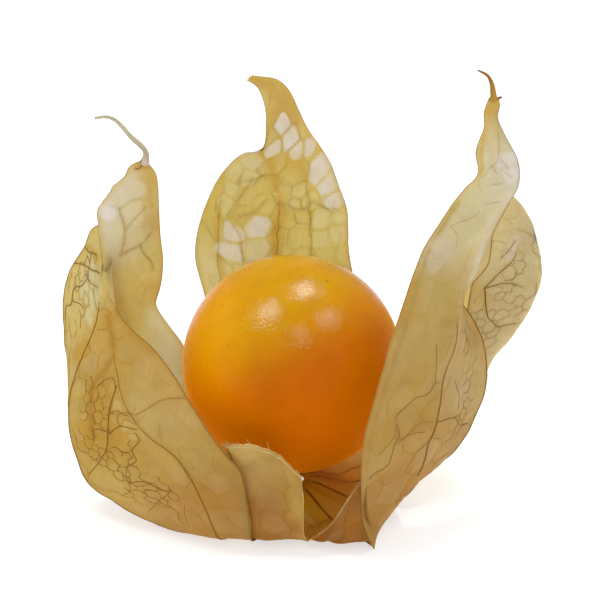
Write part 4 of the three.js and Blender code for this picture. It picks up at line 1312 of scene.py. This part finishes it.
def spread(tree, value, low, high, to_low=0.0, to_high=1.0):
    """Stretches the range low to high of a value to another range, smoothly and clamped."""
    return add_node(tree, "ShaderNodeMapRange", {"interpolation_type": "SMOOTHSTEP"}, Value=value,
                    From_Min=low, From_Max=high, To_Min=to_low, To_Max=to_high).outputs["Result"]


def vary(tree, pattern, low, high):
    """A noise as values from low to high."""
    return spread(tree, pattern, *NOISE_RANGE, low, high)


def on_vectors(tree, operation, first, second=None):
    """One sum on vectors or colours, and its output. The second is a number for SCALE."""
    node = add_node(tree, "ShaderNodeVectorMath", {"operation": operation})
    feed(tree, first, node.inputs[0])
    if second is not None:
        feed(tree, second, node.inputs["Scale" if operation == "SCALE" else 1])
    return node.outputs["Value" if operation in ("LENGTH", "DOT_PRODUCT") else "Vector"]


def kept_tint(tree):
    """The colour that is kept on the points."""
    return add_node(tree, "ShaderNodeAttribute", {"attribute_name": "tint"}).outputs["Color"]


def object_place(tree):
    """The place on the object, which its patterns follow."""
    return add_node(tree, "ShaderNodeTexCoord").outputs["Object"]


def bump(tree, height, strength, depth):
    """Fine relief from a pattern, with its depth in metres."""
    node = add_node(tree, "ShaderNodeBump", Strength=strength, Distance=depth, Height=height)
    return node.outputs["Normal"]


def paper_material():
    """Dry paper with a mottled colour, fibres that run up the sheet, and a fine grain."""
    material, tree, shader = new_material("husk_paper")
    place = object_place(tree)
    sheet_map = add_node(tree, "ShaderNodeUVMap", {"uv_map": "sheet_mm"}).outputs["UV"]
    drawn_out = add_node(tree, "ShaderNodeMapping", Vector=sheet_map, Scale=FIBRE_PER_MM).outputs["Vector"]
    mottle = noise(tree, MOTTLE_PER_METRE, 6.0, Vector=place, Roughness=0.65)
    grain = noise(tree, GRAIN_PER_METRE, 3.0, Vector=place)
    fibre = noise(tree, 1.0, 3.0, Vector=drawn_out)
    light = maths(tree, "MULTIPLY", vary(tree, mottle, 0.93, 1.06), vary(tree, fibre, 0.98, 1.02))
    relief = maths(tree, "ADD", grain, maths(tree, "MULTIPLY", fibre, 2.0))
    fill(tree, shader,
         Base_Color=on_vectors(tree, "SCALE", kept_tint(tree), light),
         Roughness=vary(tree, mottle, 0.45, 0.65),
         Normal=bump(tree, relief, 0.35, PAPER_RELIEF),
         Subsurface_Weight=0.7,
         Subsurface_Radius=(1.0, 0.8, 0.45),
         Subsurface_Scale=PAPER_GLOW,
         Specular_IOR_Level=0.1)
    return material


paper = paper_material()
print("paper nodes:", len(paper.node_tree.nodes))

# %% [markdown]
# ## Veins, thread, hook and stalk
# All of these are dry and woody. Their colour is kept on their points like the paper's, and the material
# makes that colour uneven and a little rough. They let no light through, so that they stay darker than the
# paper round them.

# %% Woody material
CHANGE_PER_METRE = 900.0
WOOD_GRAIN_PER_METRE = 6000.0
WOOD_RELIEF = 0.03 * MM


def woody_material(name, roughness=0.6):
    """Dry, fibrous stuff of uneven colour."""
    material, tree, shader = new_material(name)
    place = object_place(tree)
    change = noise(tree, CHANGE_PER_METRE, 3.0, Vector=place)
    grain = noise(tree, WOOD_GRAIN_PER_METRE, 2.0, Vector=place)
    fill(tree, shader,
         Base_Color=on_vectors(tree, "SCALE", kept_tint(tree), vary(tree, change, 0.84, 1.1)),
         Roughness=vary(tree, change, roughness - 0.1, roughness + 0.1),
         Normal=bump(tree, grain, 0.3, WOOD_RELIEF),
         Specular_IOR_Level=0.15)
    return material


vein_stuff = woody_material("vein")
print("vein nodes:", len(vein_stuff.node_tree.nodes))

# %% [markdown]
# ## Painting the sheets
# First the shades run into each other over the sheet. Then come the bands, with a broken outline, because a
# stain on paper never has a clean edge. A loose cell has a crisp edge, because it ends at its veins. Along
# every vein and edge the paper is ochre. A painted picture would need an image file, and this way each
# stain stays a few numbers.

# %% Shades and stains
SHADE_REACH = 1.4  # how far a shade's own place is plain, in mm
SHADE_FALL = 1.75  # and how fast it gives way to its neighbours


def near_veins(sheet, veins, reach):
    """1 on a vein, falling to 0 within the reach in mm, at each of the sheet's points."""
    if not veins:
        return np.zeros(sheet["grid"].shape[:2])
    courses = finder(on_sheet(sheet, np.concatenate([course for course, _, _ in veins])))
    distance = np.array([courses.find(place)[2] for place in sheet["grid"].reshape(-1, 3)])
    return np.exp(-((distance / reach) ** 2)).reshape(sheet["grid"].shape[:2])


def mix(tint, other, share):
    """Blends colours towards another colour, by a share at each point."""
    share = np.clip(share, 0, 1)[..., None]
    return tint * (1 - share) + np.array(other[:3]) * share


def shaded(sheet):
    """The shades of a sheet, run into each other: the nearer a shade's place, the more it counts."""
    weights = total = 0
    for shade, *places in sheet["shades"]:
        for place in places:
            away = np.sum((sheet["flat"] - spread_flat(sheet, place)) ** 2, axis=-1)
            weight = ((away + SHADE_REACH ** 2) ** -SHADE_FALL)[..., None]
            weights = weights + weight
            total = total + weight * np.array(shade[:3])
    return total / weights


# %% [markdown]
# ## From shades to a painted sheet
# Each layer of colour goes over the one before, as a painter would lay washes. The layers that follow the
# net come last, so that no stain hides it.

# %% Paint
CELL_EDGE = 0.42                # how far from its border a cell has its full colour, in mm
RAGGED = ((0.55, 1.6), (0.3, 0.6))  # strength and size of what breaks up the outlines of stains
BLOTCHES = ((1, 2.4), (0.6, 1.0))   # and of the blotches over the whole sheet
BLOTCH_STRENGTH = 0.04
LOOSE_WITHIN, LOOSE_FALL = 7.4, 3.6  # a loose cell is whole to 1.8 times half its size, and gone at 2.1 times
LOOSE_RAGGED = 0.4
RIB_HALO, SIDE_HALO, NET_HALO = 0.4, 0.26, 0.16  # how far the ochre beside the veins reaches, in mm
RIB_OCHRE = 0.4
EDGE_OCHRE = 0.2
EDGE_COLUMNS = 1.5              # how far the ochre reaches in from an edge, in columns of the grid
EDGE_START = 0.2                # share along where the edges turn ochre


def paint(sheet, number, ribs, side, net):
    """The colour of every point of a sheet."""
    random = np.random.default_rng(700 + number)
    grid, cell = sheet["grid"], sheet["cell"]
    ragged = layered(grid, 90 + number, *RAGGED)
    middle = np.clip(sheet["border"] / CELL_EDGE, 0, 1)
    paler = random.uniform(0, 1, len(sheet["seeds"]))[cell]
    tint = mix(shaded(sheet), CREAM, sheet["pale"] * paler * middle)
    for wide, shade, strength, route in sheet["bands"]:
        course = [vein(sheet, route, wide, wide, 0)]
        tint = mix(tint, shade, strength * near_veins(sheet, course, wide) ** np.exp(ragged))
    for k, (place, size, shade, strength) in enumerate(loose_cells(sheet)):
        away = oval(sheet, sheet["flat"], *place, 0.5 * size, 0.5 * size)
        within = np.clip(LOOSE_WITHIN - LOOSE_FALL * away, 0, 1)
        tint = mix(tint, shade, strength * (cell == k) * middle * within * (1 + LOOSE_RAGGED * ragged))
    blotched = 1 + BLOTCH_STRENGTH * layered(grid, 95 + number, *BLOTCHES)
    tint = tint * (sheet["light"] * blotched)[..., None]
    beside_ribs = RIB_OCHRE * near_veins(sheet, ribs, RIB_HALO)
    tint = mix(tint, OCHRE, beside_ribs + sheet["halo"] * near_veins(sheet, side, SIDE_HALO))
    tint = mix(tint, sheet["net_shade"], sheet["halo"] * near_veins(sheet, net, NET_HALO))
    from_edge = np.minimum(np.arange(grid.shape[1]), np.arange(grid.shape[1])[::-1])
    at_edge = np.exp(-(from_edge / EDGE_COLUMNS) ** 2)[None, :] * (sheet["along"] > EDGE_START)[:, None]
    return mix(tint, OCHRE, EDGE_OCHRE * at_edge)


# %% [markdown]
# ## A sheet becomes a shell
# A sheet with no thickness can't be a real piece, so the grid is doubled: an outer face, an inner face a
# paper's thickness behind it, and a narrow band round the rim. A Solidify modifier would do that too, but
# the inner face gets a colour of its own here: low down it is painted dark orange, which is painted shade
# with a painted glow for the orange light that comes off the berry.

# %% Shell from a sheet
PAPER_THICKNESS = 0.13
# Low on the inner face the paper is painted darker and orange: painted shade and a painted glow.
PAINTED_SHADE_TOP = 0.3       # share along where the glow ends
PAINTED_SHADE_STRENGTH = 0.9


def with_painted_inner_shade(sheet):
    """The colours of a sheet's inner face: low down, painted shade with a painted orange glow."""
    share = np.clip(1 - sheet["along"] / PAINTED_SHADE_TOP, 0, 1) ** 0.5
    return mix(sheet["tint"], SHADE_AND_BERRY_GLOW, PAINTED_SHADE_STRENGTH * np.repeat(share[:, None], sheet["grid"].shape[1], axis=1))


def smooth_mesh(name, places, faces):
    """A smooth-shaded mesh from places in mm and faces."""
    mesh = bpy.data.meshes.new(name)
    mesh.from_pydata(to_frame(places).tolist(), [], faces)
    mesh.polygons.foreach_set("use_smooth", np.ones(len(faces), bool))
    return mesh


def shell_piece(name, sheet, material):
    """The sheet as a closed shell of paper, with its map in mm and its painted colours."""
    outer = sheet["grid"]
    inner = kept_above(outer - sheet["normal"] * PAPER_THICKNESS, LOWEST)
    rows, columns = outer.shape[:2]
    number = np.arange(rows * columns).reshape(rows, columns)
    corners = (number[:-1, :-1], number[:-1, 1:], number[1:, 1:], number[1:, :-1])
    front = np.stack(corners, axis=-1).reshape(-1, 4)
    back = front[:, [0, 3, 2, 1]] + rows * columns
    rim = np.concatenate([number[0, :-1], number[:-1, -1], number[-1, :0:-1], number[:0:-1, 0]])
    after = np.roll(rim, -1)
    band = np.stack([after, rim, rim + rows * columns, after + rows * columns], axis=-1)
    places = np.concatenate([outer, inner]).reshape(-1, 3)
    mesh = smooth_mesh(name, places, np.concatenate([front, back, band]).tolist())
    used = np.zeros(len(mesh.loops), np.int32)
    mesh.loops.foreach_get("vertex_index", used)
    flat = np.tile(sheet["flat"].reshape(-1, 2), (2, 1))[used].astype(np.float32)
    mesh.uv_layers.new(name="sheet_mm").data.foreach_set("uv", flat.ravel())
    keep_colours(mesh, np.concatenate([sheet["tint"], with_painted_inner_shade(sheet)]).reshape(-1, 3))
    mesh.materials.append(material)
    return add_object(name, mesh)


# %% [markdown]
# ## Veins on both faces, and the torn edge
# Veins stand out on both faces of the paper, and each takes the paper's own colour, browned. On the inner
# face the faint ones and those close to the base don't show. Where the paper tore, a few short fibres stick
# out and curl, most of them at the corner where the tear began. A hair system would strew them too, but it
# can't follow one edge.

# %% Vein lines and torn fringe
INNER_START = 0.33    # share along where the inner face's veins begin
INNER_DARKEST = 0.14  # veins fainter than this don't show there
FIBRE_PLACES = 6
FIBRE_CURL = 0.75
FIBRE_SAG = -0.25
FIBRE_THICK, FIBRE_THIN = 0.03, 0.012
FIBRE_LENGTHS = (0.25, 1)    # as shares of the longest
MORE_SHORT = 1.6             # above 1, short fibres are more common
FIBRE_LIGHT = (0.6, 1.1)
FRINGE_ENDS = (0.03, 0.97)   # share of an edge where its fringe begins and ends
CROWDING = {"top": 2.0, "last": 1.0}  # above 1, the fibres crowd to the first corner
SIDE_START = 0.3             # share along where the fringe of a torn side begins
FROM_TOP, FROM_SIDE = 0.03, 0.15  # how far in a fibre takes its direction from, along and in ribs


def as_lines(sheet, veins, lift=0.0):
    """Veins as lines in space, on the outer face, or on the inner one where lift is below 0."""
    lines = []
    for course, radius, dark in veins:
        if lift < 0 and (course[:, 1].min() < INNER_START or dark[0] < INNER_DARKEST):
            continue
        tint = mix(mix(read(sheet, sheet["tint"], course), BROWN, dark), FIBRE, -dark)
        lines.append((on_sheet(sheet, course, lift), radius, tint))
    return lines


def fringe(sheet, side, count, longest, seed):
    """Short fibres that stick out of a torn edge, as lines. side is top, or last for the last rib."""
    random = np.random.default_rng(seed)
    last = sheet["across"][-1]
    steps = np.linspace(0, 1, FIBRE_PLACES)[:, None]
    lines = []
    for share in random.uniform(*FRINGE_ENDS, count) ** CROWDING[side]:
        ends = ((share * last, 1.0), (share * last, 1 - FROM_TOP))
        if side == "last":
            along = SIDE_START + (1 - SIDE_START) * share
            ends = ((last, along), (last - FROM_SIDE, along))
        root, inner = on_sheet(sheet, ends)
        out = unit(root - inner) + random.normal(0, FIBRE_CURL, 3)
        reach = longest * random.uniform(*FIBRE_LENGTHS) ** MORE_SHORT
        places = root + out * reach * steps + np.array([0, 0, FIBRE_SAG * reach]) * steps ** 2
        shade = np.array([PALE_STRAW[:3]]) * random.uniform(*FIBRE_LIGHT)
        tint = np.repeat(shade, FIBRE_PLACES, axis=0)
        lines.append((places, np.linspace(FIBRE_THICK, FIBRE_THIN, FIBRE_PLACES), tint))
    return lines


# %% [markdown]
# ## Building the sepals
# Everything comes together here: each sheet gets its veins, its paint, its shell, and its veins as tubes.
# The paper and its veins stay two pieces, because they differ in material and the tubes are half sunk in
# the paper.

# %% Build the sepals
VEIN_TUBE = {"Sides": 5, "Thickness": 1.0, "Lumpiness": 0.8, "Material": vein_stuff}
tubes = tube_tree()
made = {}
for number, (name, sheet) in enumerate(sheets.items()):
    ribs, side, net = ribs_of(sheet), side_veins(sheet), net_veins(sheet, 300 + number)
    sheet["tint"] = paint(sheet, number, ribs, side, net)
    lines = as_lines(sheet, ribs + side + net) + as_lines(sheet, side + net, -PAPER_THICKNESS)
    if name == "torn_piece":
        lines += fringe(sheet, "top", count=34, longest=0.32, seed=51)
        lines += fringe(sheet, "last", count=24, longest=0.14, seed=52)
    shell, veins = name + "_paper", "veins_" + name
    made[shell] = shell_piece(shell, sheet, paper)
    made[veins] = run_tree(veins, line_mesh(veins, lines), tubes, VEIN_TUBE)
    print(name, len(made[shell].data.polygons), "faces,", len(made[veins].data.polygons), "in veins")

# %% [markdown]
# ## The thread and the hook
# Two sepals end in long dried tips: a pale, curling thread on the left, and a short brown hook on the
# right, which has a broken stub beside it. Each is a tapering tube along a smooth line, made by the same
# tree as the veins.

# %% Tips
TIP_PLACES = 48
TIP_ROOT = (0.12, 0.68)  # a tip has thinned to this share of its thickness at this share of its way
TIP_TUBE = {"Sides": 12, "Thickness": 1.0, "Lumpiness": 0.5}
DRY_GREY = colour(186, 180, 146)
RUST = colour(150, 98, 46)
HOOK_STUB = [(18.3, -1.5, 39.8), (18.6, -1.5, 39.98), (18.85, -1.5, 40.05)]


def tip_line(points, thick, thin, first_shade, last_shade):
    """A tapering line, widest where it grows out of the paper."""
    share = np.linspace(0, 1, TIP_PLACES)
    tint = mix(np.array(first_shade[:3]), last_shade, share)
    size = np.interp(share, (0, TIP_ROOT[0], 1), (thick, TIP_ROOT[1] * thick, thin))
    return even_line(points, TIP_PLACES), size, tint


def add_tip(name, *lines):
    """A tip as a piece of its own."""
    values = {**TIP_TUBE, "Material": woody_material("dry_" + name)}
    made[name] = run_tree(name, line_mesh(name, lines), tubes, values)
    print(name, len(made[name].data.polygons), "faces")


add_tip("thread", tip_line(THREAD, 0.42, 0.12, PARCHMENT, DRY_GREY))
add_tip("hook", tip_line(HOOK, 0.4, 0.07, OCHRE, RUST), tip_line(HOOK_STUB, 0.14, 0.1, RUST, BROWN))

# %% [markdown]
# ## The stalk stub
# The berry sits on the cut end of its stalk: a woody peg that widens into a small disc under the fruit. It
# is turned from a profile, with low ridges running up it, as a dried stalk has. A Screw modifier would turn
# the profile, but it could not add the ridges.

# %% Stalk stub
STUB_PROFILE = [(0, 0.5), (0.4, 0.5), (0.72, 0.52), (0.75, 0.62), (0.69, 1.0), (0.65, 1.45), (0.68, 1.9),
                (0.78, 2.35), (1.3, 2.6), (1.95, 3.0), (2.1, 3.2), (2.0, 3.42), (1.68, 3.6), (0.9, 3.72),
                (0, 3.78)]
STALK_BROWN = colour(146, 108, 62)


def turned(profile, sides, ridges, ridge_depth):
    """A closed solid turned from a profile of (radius, height) in mm, with ridges running up it."""
    angles = np.linspace(0, 2 * math.pi, sides, endpoint=False)
    points = [(0, 0, profile[0][1])]
    for radius, height in profile[1:-1]:
        wavy = radius * (1 + ridge_depth * np.cos(ridges * angles))
        points.extend(zip(wavy * np.cos(angles), wavy * np.sin(angles), np.full(sides, height)))
    points.append((0, 0, profile[-1][1]))
    last = len(points) - 1
    faces = []
    for k in range(sides):
        after = (k + 1) % sides
        faces.append((0, 1 + after, 1 + k))
        for low in range(1, last - sides, sides):
            faces.append((low + k, low + after, low + sides + after, low + sides + k))
        faces.append((last - sides + k, last - sides + after, last))
    return points, faces


points, faces = turned(STUB_PROFILE, sides=48, ridges=10, ridge_depth=0.035)
mesh = smooth_mesh("stalk_peg", points, faces)
keep_colours(mesh, np.repeat([STALK_BROWN[:3]], len(points), axis=0))
mesh.materials.append(woody_material("dry_stalk", roughness=0.75))
made["stalk_peg"] = add_object("stalk_peg", mesh)
print("stalk peg:", len(faces), "faces")

# %% [markdown]
# ## The berry
# A ripe berry is nearly a ball, with a shallow dimple where the stalk enters and a very slightly uneven
# skin. Its shape follows a rule, so a geometry tree makes it: a ball, pushed in below, moved by soft noise.
# A ball of equal triangles has no poles, where a ball of rings would pinch the highlights.

# %% Berry shape
WAVES_PER_METRE = 120.0


def berry_tree():
    """A ball with a dimple below and an uneven skin."""
    tree, given, end = new_tree("berry_shape", {
        "Start": "Geometry", "Radius": "Float", "Dimple Depth": "Float", "Dimple Spread": "Float",
        "Unevenness": "Float", "Centre": "Vector", "Material": "Material"})
    ball = add_node(tree, "GeometryNodeMeshIcoSphere", Radius=given["Radius"], Subdivisions=7)
    place = add_node(tree, "GeometryNodeInputPosition").outputs["Position"]
    parts = add_node(tree, "ShaderNodeSeparateXYZ", Vector=place).outputs
    level_place = add_node(tree, "ShaderNodeCombineXYZ", X=parts["X"], Y=parts["Y"]).outputs["Vector"]
    ratio = maths(tree, "DIVIDE", on_vectors(tree, "LENGTH", level_place), given["Dimple Spread"])
    bell = maths(tree, "EXPONENT", maths(tree, "MULTIPLY", maths(tree, "MULTIPLY", ratio, ratio), -1.0))
    below = maths(tree, "LESS_THAN", parts["Z"], 0.0)
    lift = maths(tree, "MULTIPLY", maths(tree, "MULTIPLY", bell, below), given["Dimple Depth"])
    raised = add_node(tree, "ShaderNodeCombineXYZ", Z=lift).outputs["Vector"]
    waves = maths(tree, "SUBTRACT", noise(tree, WAVES_PER_METRE, 1.0), 0.5)
    waves = maths(tree, "MULTIPLY", waves, given["Unevenness"])
    moved_out = on_vectors(tree, "SCALE", on_vectors(tree, "NORMALIZE", place), waves)
    both = on_vectors(tree, "ADD", moved_out, raised)
    shaped = add_node(tree, "GeometryNodeSetPosition", Geometry=ball.outputs["Mesh"], Offset=both)
    moved = add_node(tree, "GeometryNodeSetPosition", Geometry=shaped.outputs[0], Offset=given["Centre"])
    return end_tree(tree, given, end, moved.outputs["Geometry"])


# %% [markdown]
# ## The berry's skin
# A clear, oily skin over flesh that lets light through. It is painted yellow on its upper side, towards the
# lamps, and orange below: partly the fruit's own ripe colour, partly painted light and shade.
# Towards the rims, where the light of the husk comes through, it glows from inside. The glow is a weak
# emission, because real scattering through the whole fruit would take far more samples for the same look.
# The top mirrors the lamps most.

# %% Berry skin
# The ripe side points up towards the lamps, so it is the lit side as well.
RIPE_AND_LIT_SIDE = Vector((-0.45, 0.33, 0.83))
LOW_SIDE = Vector((-0.6, -0.5, -0.62))
SHADED_FLESH = colour(192, 88, 1)
FLESH = colour(196, 103, 1)
RIPE_AND_LIT_FLESH = colour(208, 154, 1)
TO_FLESH = (-0.009, 0.0)  # where the colour changes towards the ripe side
TO_RIPE_AND_LIT = (-0.0015, 0.0055)
INNER_GLOW = (1.0, 0.26, 0.0, 1)
SHADED_GLOW = (-0.0095, 0.001, 0.2, 0.03)  # from and to, and the glow at each of them
LEFT_GLOW = (-0.0098, -0.002, 0.28, 0.0)
RIGHT_GLOW = (0.002, 0.0098, 0.0, 0.16)
LOW_GLOW = (0.005, 0.0098, 0.0, 0.1)
TOP_MIRROR = (0.0, 0.006, 0.08, 1.0)       # the same for how much the skin mirrors
SKIN_MOTTLE_PER_METRE = 500.0
SKIN_GRAIN_PER_METRE = 4200.0
SKIN_RELIEF = 0.045 * MM
FLESH_DEPTH = 3.0 * MM  # how far light spreads in the flesh


def blend_colours(tree, share, first, second):
    """Mixes two colours by a share, and gives the output. The colours have sockets 6 and 7 of the node."""
    node = add_node(tree, "ShaderNodeMix", {"data_type": "RGBA"})
    for number, value in ((0, share), (6, first), (7, second)):
        feed(tree, value, node.inputs[number])
    return node.outputs[2]


def skin_material():
    """The berry's skin and flesh. Distances along a direction are in metres from the berry's middle."""
    material, tree, shader = new_material("berry_skin")
    place = object_place(tree)
    centred = add_node(tree, "ShaderNodeMapping", Vector=place, Location=-berry_centre).outputs["Vector"]
    parts = add_node(tree, "ShaderNodeSeparateXYZ", Vector=centred).outputs
    ripe_and_lit = on_vectors(tree, "DOT_PRODUCT", centred, RIPE_AND_LIT_SIDE)
    low = on_vectors(tree, "DOT_PRODUCT", centred, LOW_SIDE)
    mottle = noise(tree, SKIN_MOTTLE_PER_METRE, 4.0, Vector=place)
    grain = noise(tree, SKIN_GRAIN_PER_METRE, 1.0, Vector=place)
    # Yellow towards the lamps above and orange below: partly the fruit's own colour, partly painted light and
    # shade.
    base = blend_colours(tree, spread(tree, ripe_and_lit, *TO_FLESH), SHADED_FLESH, FLESH)
    base = blend_colours(tree, spread(tree, ripe_and_lit, *TO_RIPE_AND_LIT), base, RIPE_AND_LIT_FLESH)
    glow = spread(tree, ripe_and_lit, *SHADED_GLOW)
    for distance, change in ((parts["X"], LEFT_GLOW), (parts["X"], RIGHT_GLOW), (low, LOW_GLOW)):
        glow = maths(tree, "ADD", glow, spread(tree, distance, *change))
    fill(tree, shader,
         Base_Color=on_vectors(tree, "SCALE", base, vary(tree, mottle, 0.97, 1.03)),
         Roughness=vary(tree, mottle, 0.05, 0.08),
         Normal=bump(tree, grain, 1.0, SKIN_RELIEF),
         Emission_Color=INNER_GLOW,
         Emission_Strength=glow,
         Subsurface_Weight=0.85,
         Subsurface_Radius=(1.0, 0.32, 0.04),
         Subsurface_Scale=FLESH_DEPTH,
         Specular_IOR_Level=spread(tree, parts["Z"], *TOP_MIRROR),
         Specular_Tint=(0.72, 1.0, 0.95, 1),
         IOR=1.3)
    return material


made["berry_skin"] = run_tree("berry_skin", bpy.data.meshes.new("berry_start"), berry_tree(), {
    "Radius": BERRY_RADIUS, "Dimple Depth": 0.7 * MM, "Dimple Spread": 2.6 * MM, "Unevenness": 0.06 * MM,
    "Centre": tuple(berry_centre), "Material": skin_material()})
print("berry faces:", len(made["berry_skin"].data.polygons))

# %% [markdown]
# ## Specks
# The skin has tiny brown pores, and the paper has a few brown dots. A geometry tree strews points over a
# surface, with a fixed seed, and sets a small bead half sunk at each. In a material they would be flat and
# lose their edge.

# %% Specks
BEAD_FACES = 20
DOTS_PER_METRE = 1500.0
DOT_DARK, DOT_LIGHT = colour(70, 34, 10), colour(118, 64, 20)
SPECKLED = ("sepal_front_left", "torn_piece", "sepal_front_right", "sepal_back_right")


def speck_tree():
    """Small beads strewn over a surface."""
    tree, given, end = new_tree("specks_on_a_surface", {
        "Surface": "Geometry", "Per Square Metre": "Float", "Smallest": "Float", "Largest": "Float",
        "Seed": "Int", "Material": "Material"})
    points = add_node(tree, "GeometryNodeDistributePointsOnFaces", Mesh=given["Surface"],
                      Density=given["Per Square Metre"], Seed=given["Seed"])
    bead = add_node(tree, "GeometryNodeMeshIcoSphere", Radius=1.0, Subdivisions=1)
    size = add_node(tree, "FunctionNodeRandomValue", {"data_type": "FLOAT"})
    feed(tree, given["Smallest"], size.inputs[2])
    feed(tree, given["Largest"], size.inputs[3])
    beads = add_node(tree, "GeometryNodeInstanceOnPoints", Points=points.outputs["Points"],
                     Instance=bead.outputs["Mesh"], Scale=size.outputs[1])
    return end_tree(tree, given, end, beads.outputs["Instances"])


def dot_material():
    """Uneven dark brown."""
    material, tree, shader = new_material("brown_dot")
    change = noise(tree, DOTS_PER_METRE, 2.0, Vector=object_place(tree))
    fill(tree, shader, Base_Color=blend_colours(tree, spread(tree, change, 0.35, 0.65), DOT_DARK, DOT_LIGHT),
         Roughness=0.7)
    return material


specks, dot_brown = speck_tree(), dot_material()


def add_specks(name, surface, per_square_metre, largest, seed):
    """Specks on a piece, as a piece of their own. largest is their greatest radius in mm."""
    made[name] = run_tree(name, made[surface].data, specks, {
        "Per Square Metre": per_square_metre, "Smallest": 0.03 * MM, "Largest": largest * MM, "Seed": seed,
        "Material": dot_brown})
    print(name, len(made[name].data.polygons) // BEAD_FACES)


add_specks("berry_pores", "berry_skin", 110000.0, 0.065, seed=4)
for number, name in enumerate(SPECKLED):
    add_specks("dots_" + name, name + "_paper", 60000.0, 0.055, seed=11 + number)

# %% [markdown]
# ## Putting it on the frame
# Every piece rides on the one body. The papers, the tips, the skin and the peg stand for the imported solids,
# which are hidden. The veins and the dots stand for nothing: they are added to the solids.

# %% Ride and replace
STANDS_FOR = {
    "sepal_front_left_paper": ("sepal_front_left", "husk_straw"),
    "torn_piece_paper": ("sepal_front_left", "husk_straw"),
    "sepal_back_left_paper": ("sepal_back_left", "husk_pale"),
    "sepal_back_paper": ("sepal_back", "husk_pale"),
    "sepal_back_right_paper": ("sepal_back_right", "husk_tan"),
    "sepal_front_right_paper": ("sepal_front_right", "husk_straw"),
    "low_piece_paper": ("sepal_front_right", "husk_straw"),
    "thread": ("sepal_back_left", "husk_pale"),
    "hook": ("sepal_front_right", "husk_straw"),
    "stalk_peg": ("stalk_stub", "dry_stalk"),
    "berry_skin": ("berry", "berry_skin"),
}
for name, piece in made.items():
    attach(piece, "root")
    node, slot = STANDS_FOR.get(name, (None, "berry_skin" if name == "berry_pores" else "husk_tan"))
    if node:
        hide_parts(node)
print("pieces:", len(made))

# %% [markdown]
# ## Triangles
# The count of triangles shows which pieces are heavy.

# %% Triangles
counts = [sum(len(face.vertices) - 2 for face in piece.data.polygons) for piece in made.values()]
print("triangles:", sum(counts), "most in one piece:", max(counts))
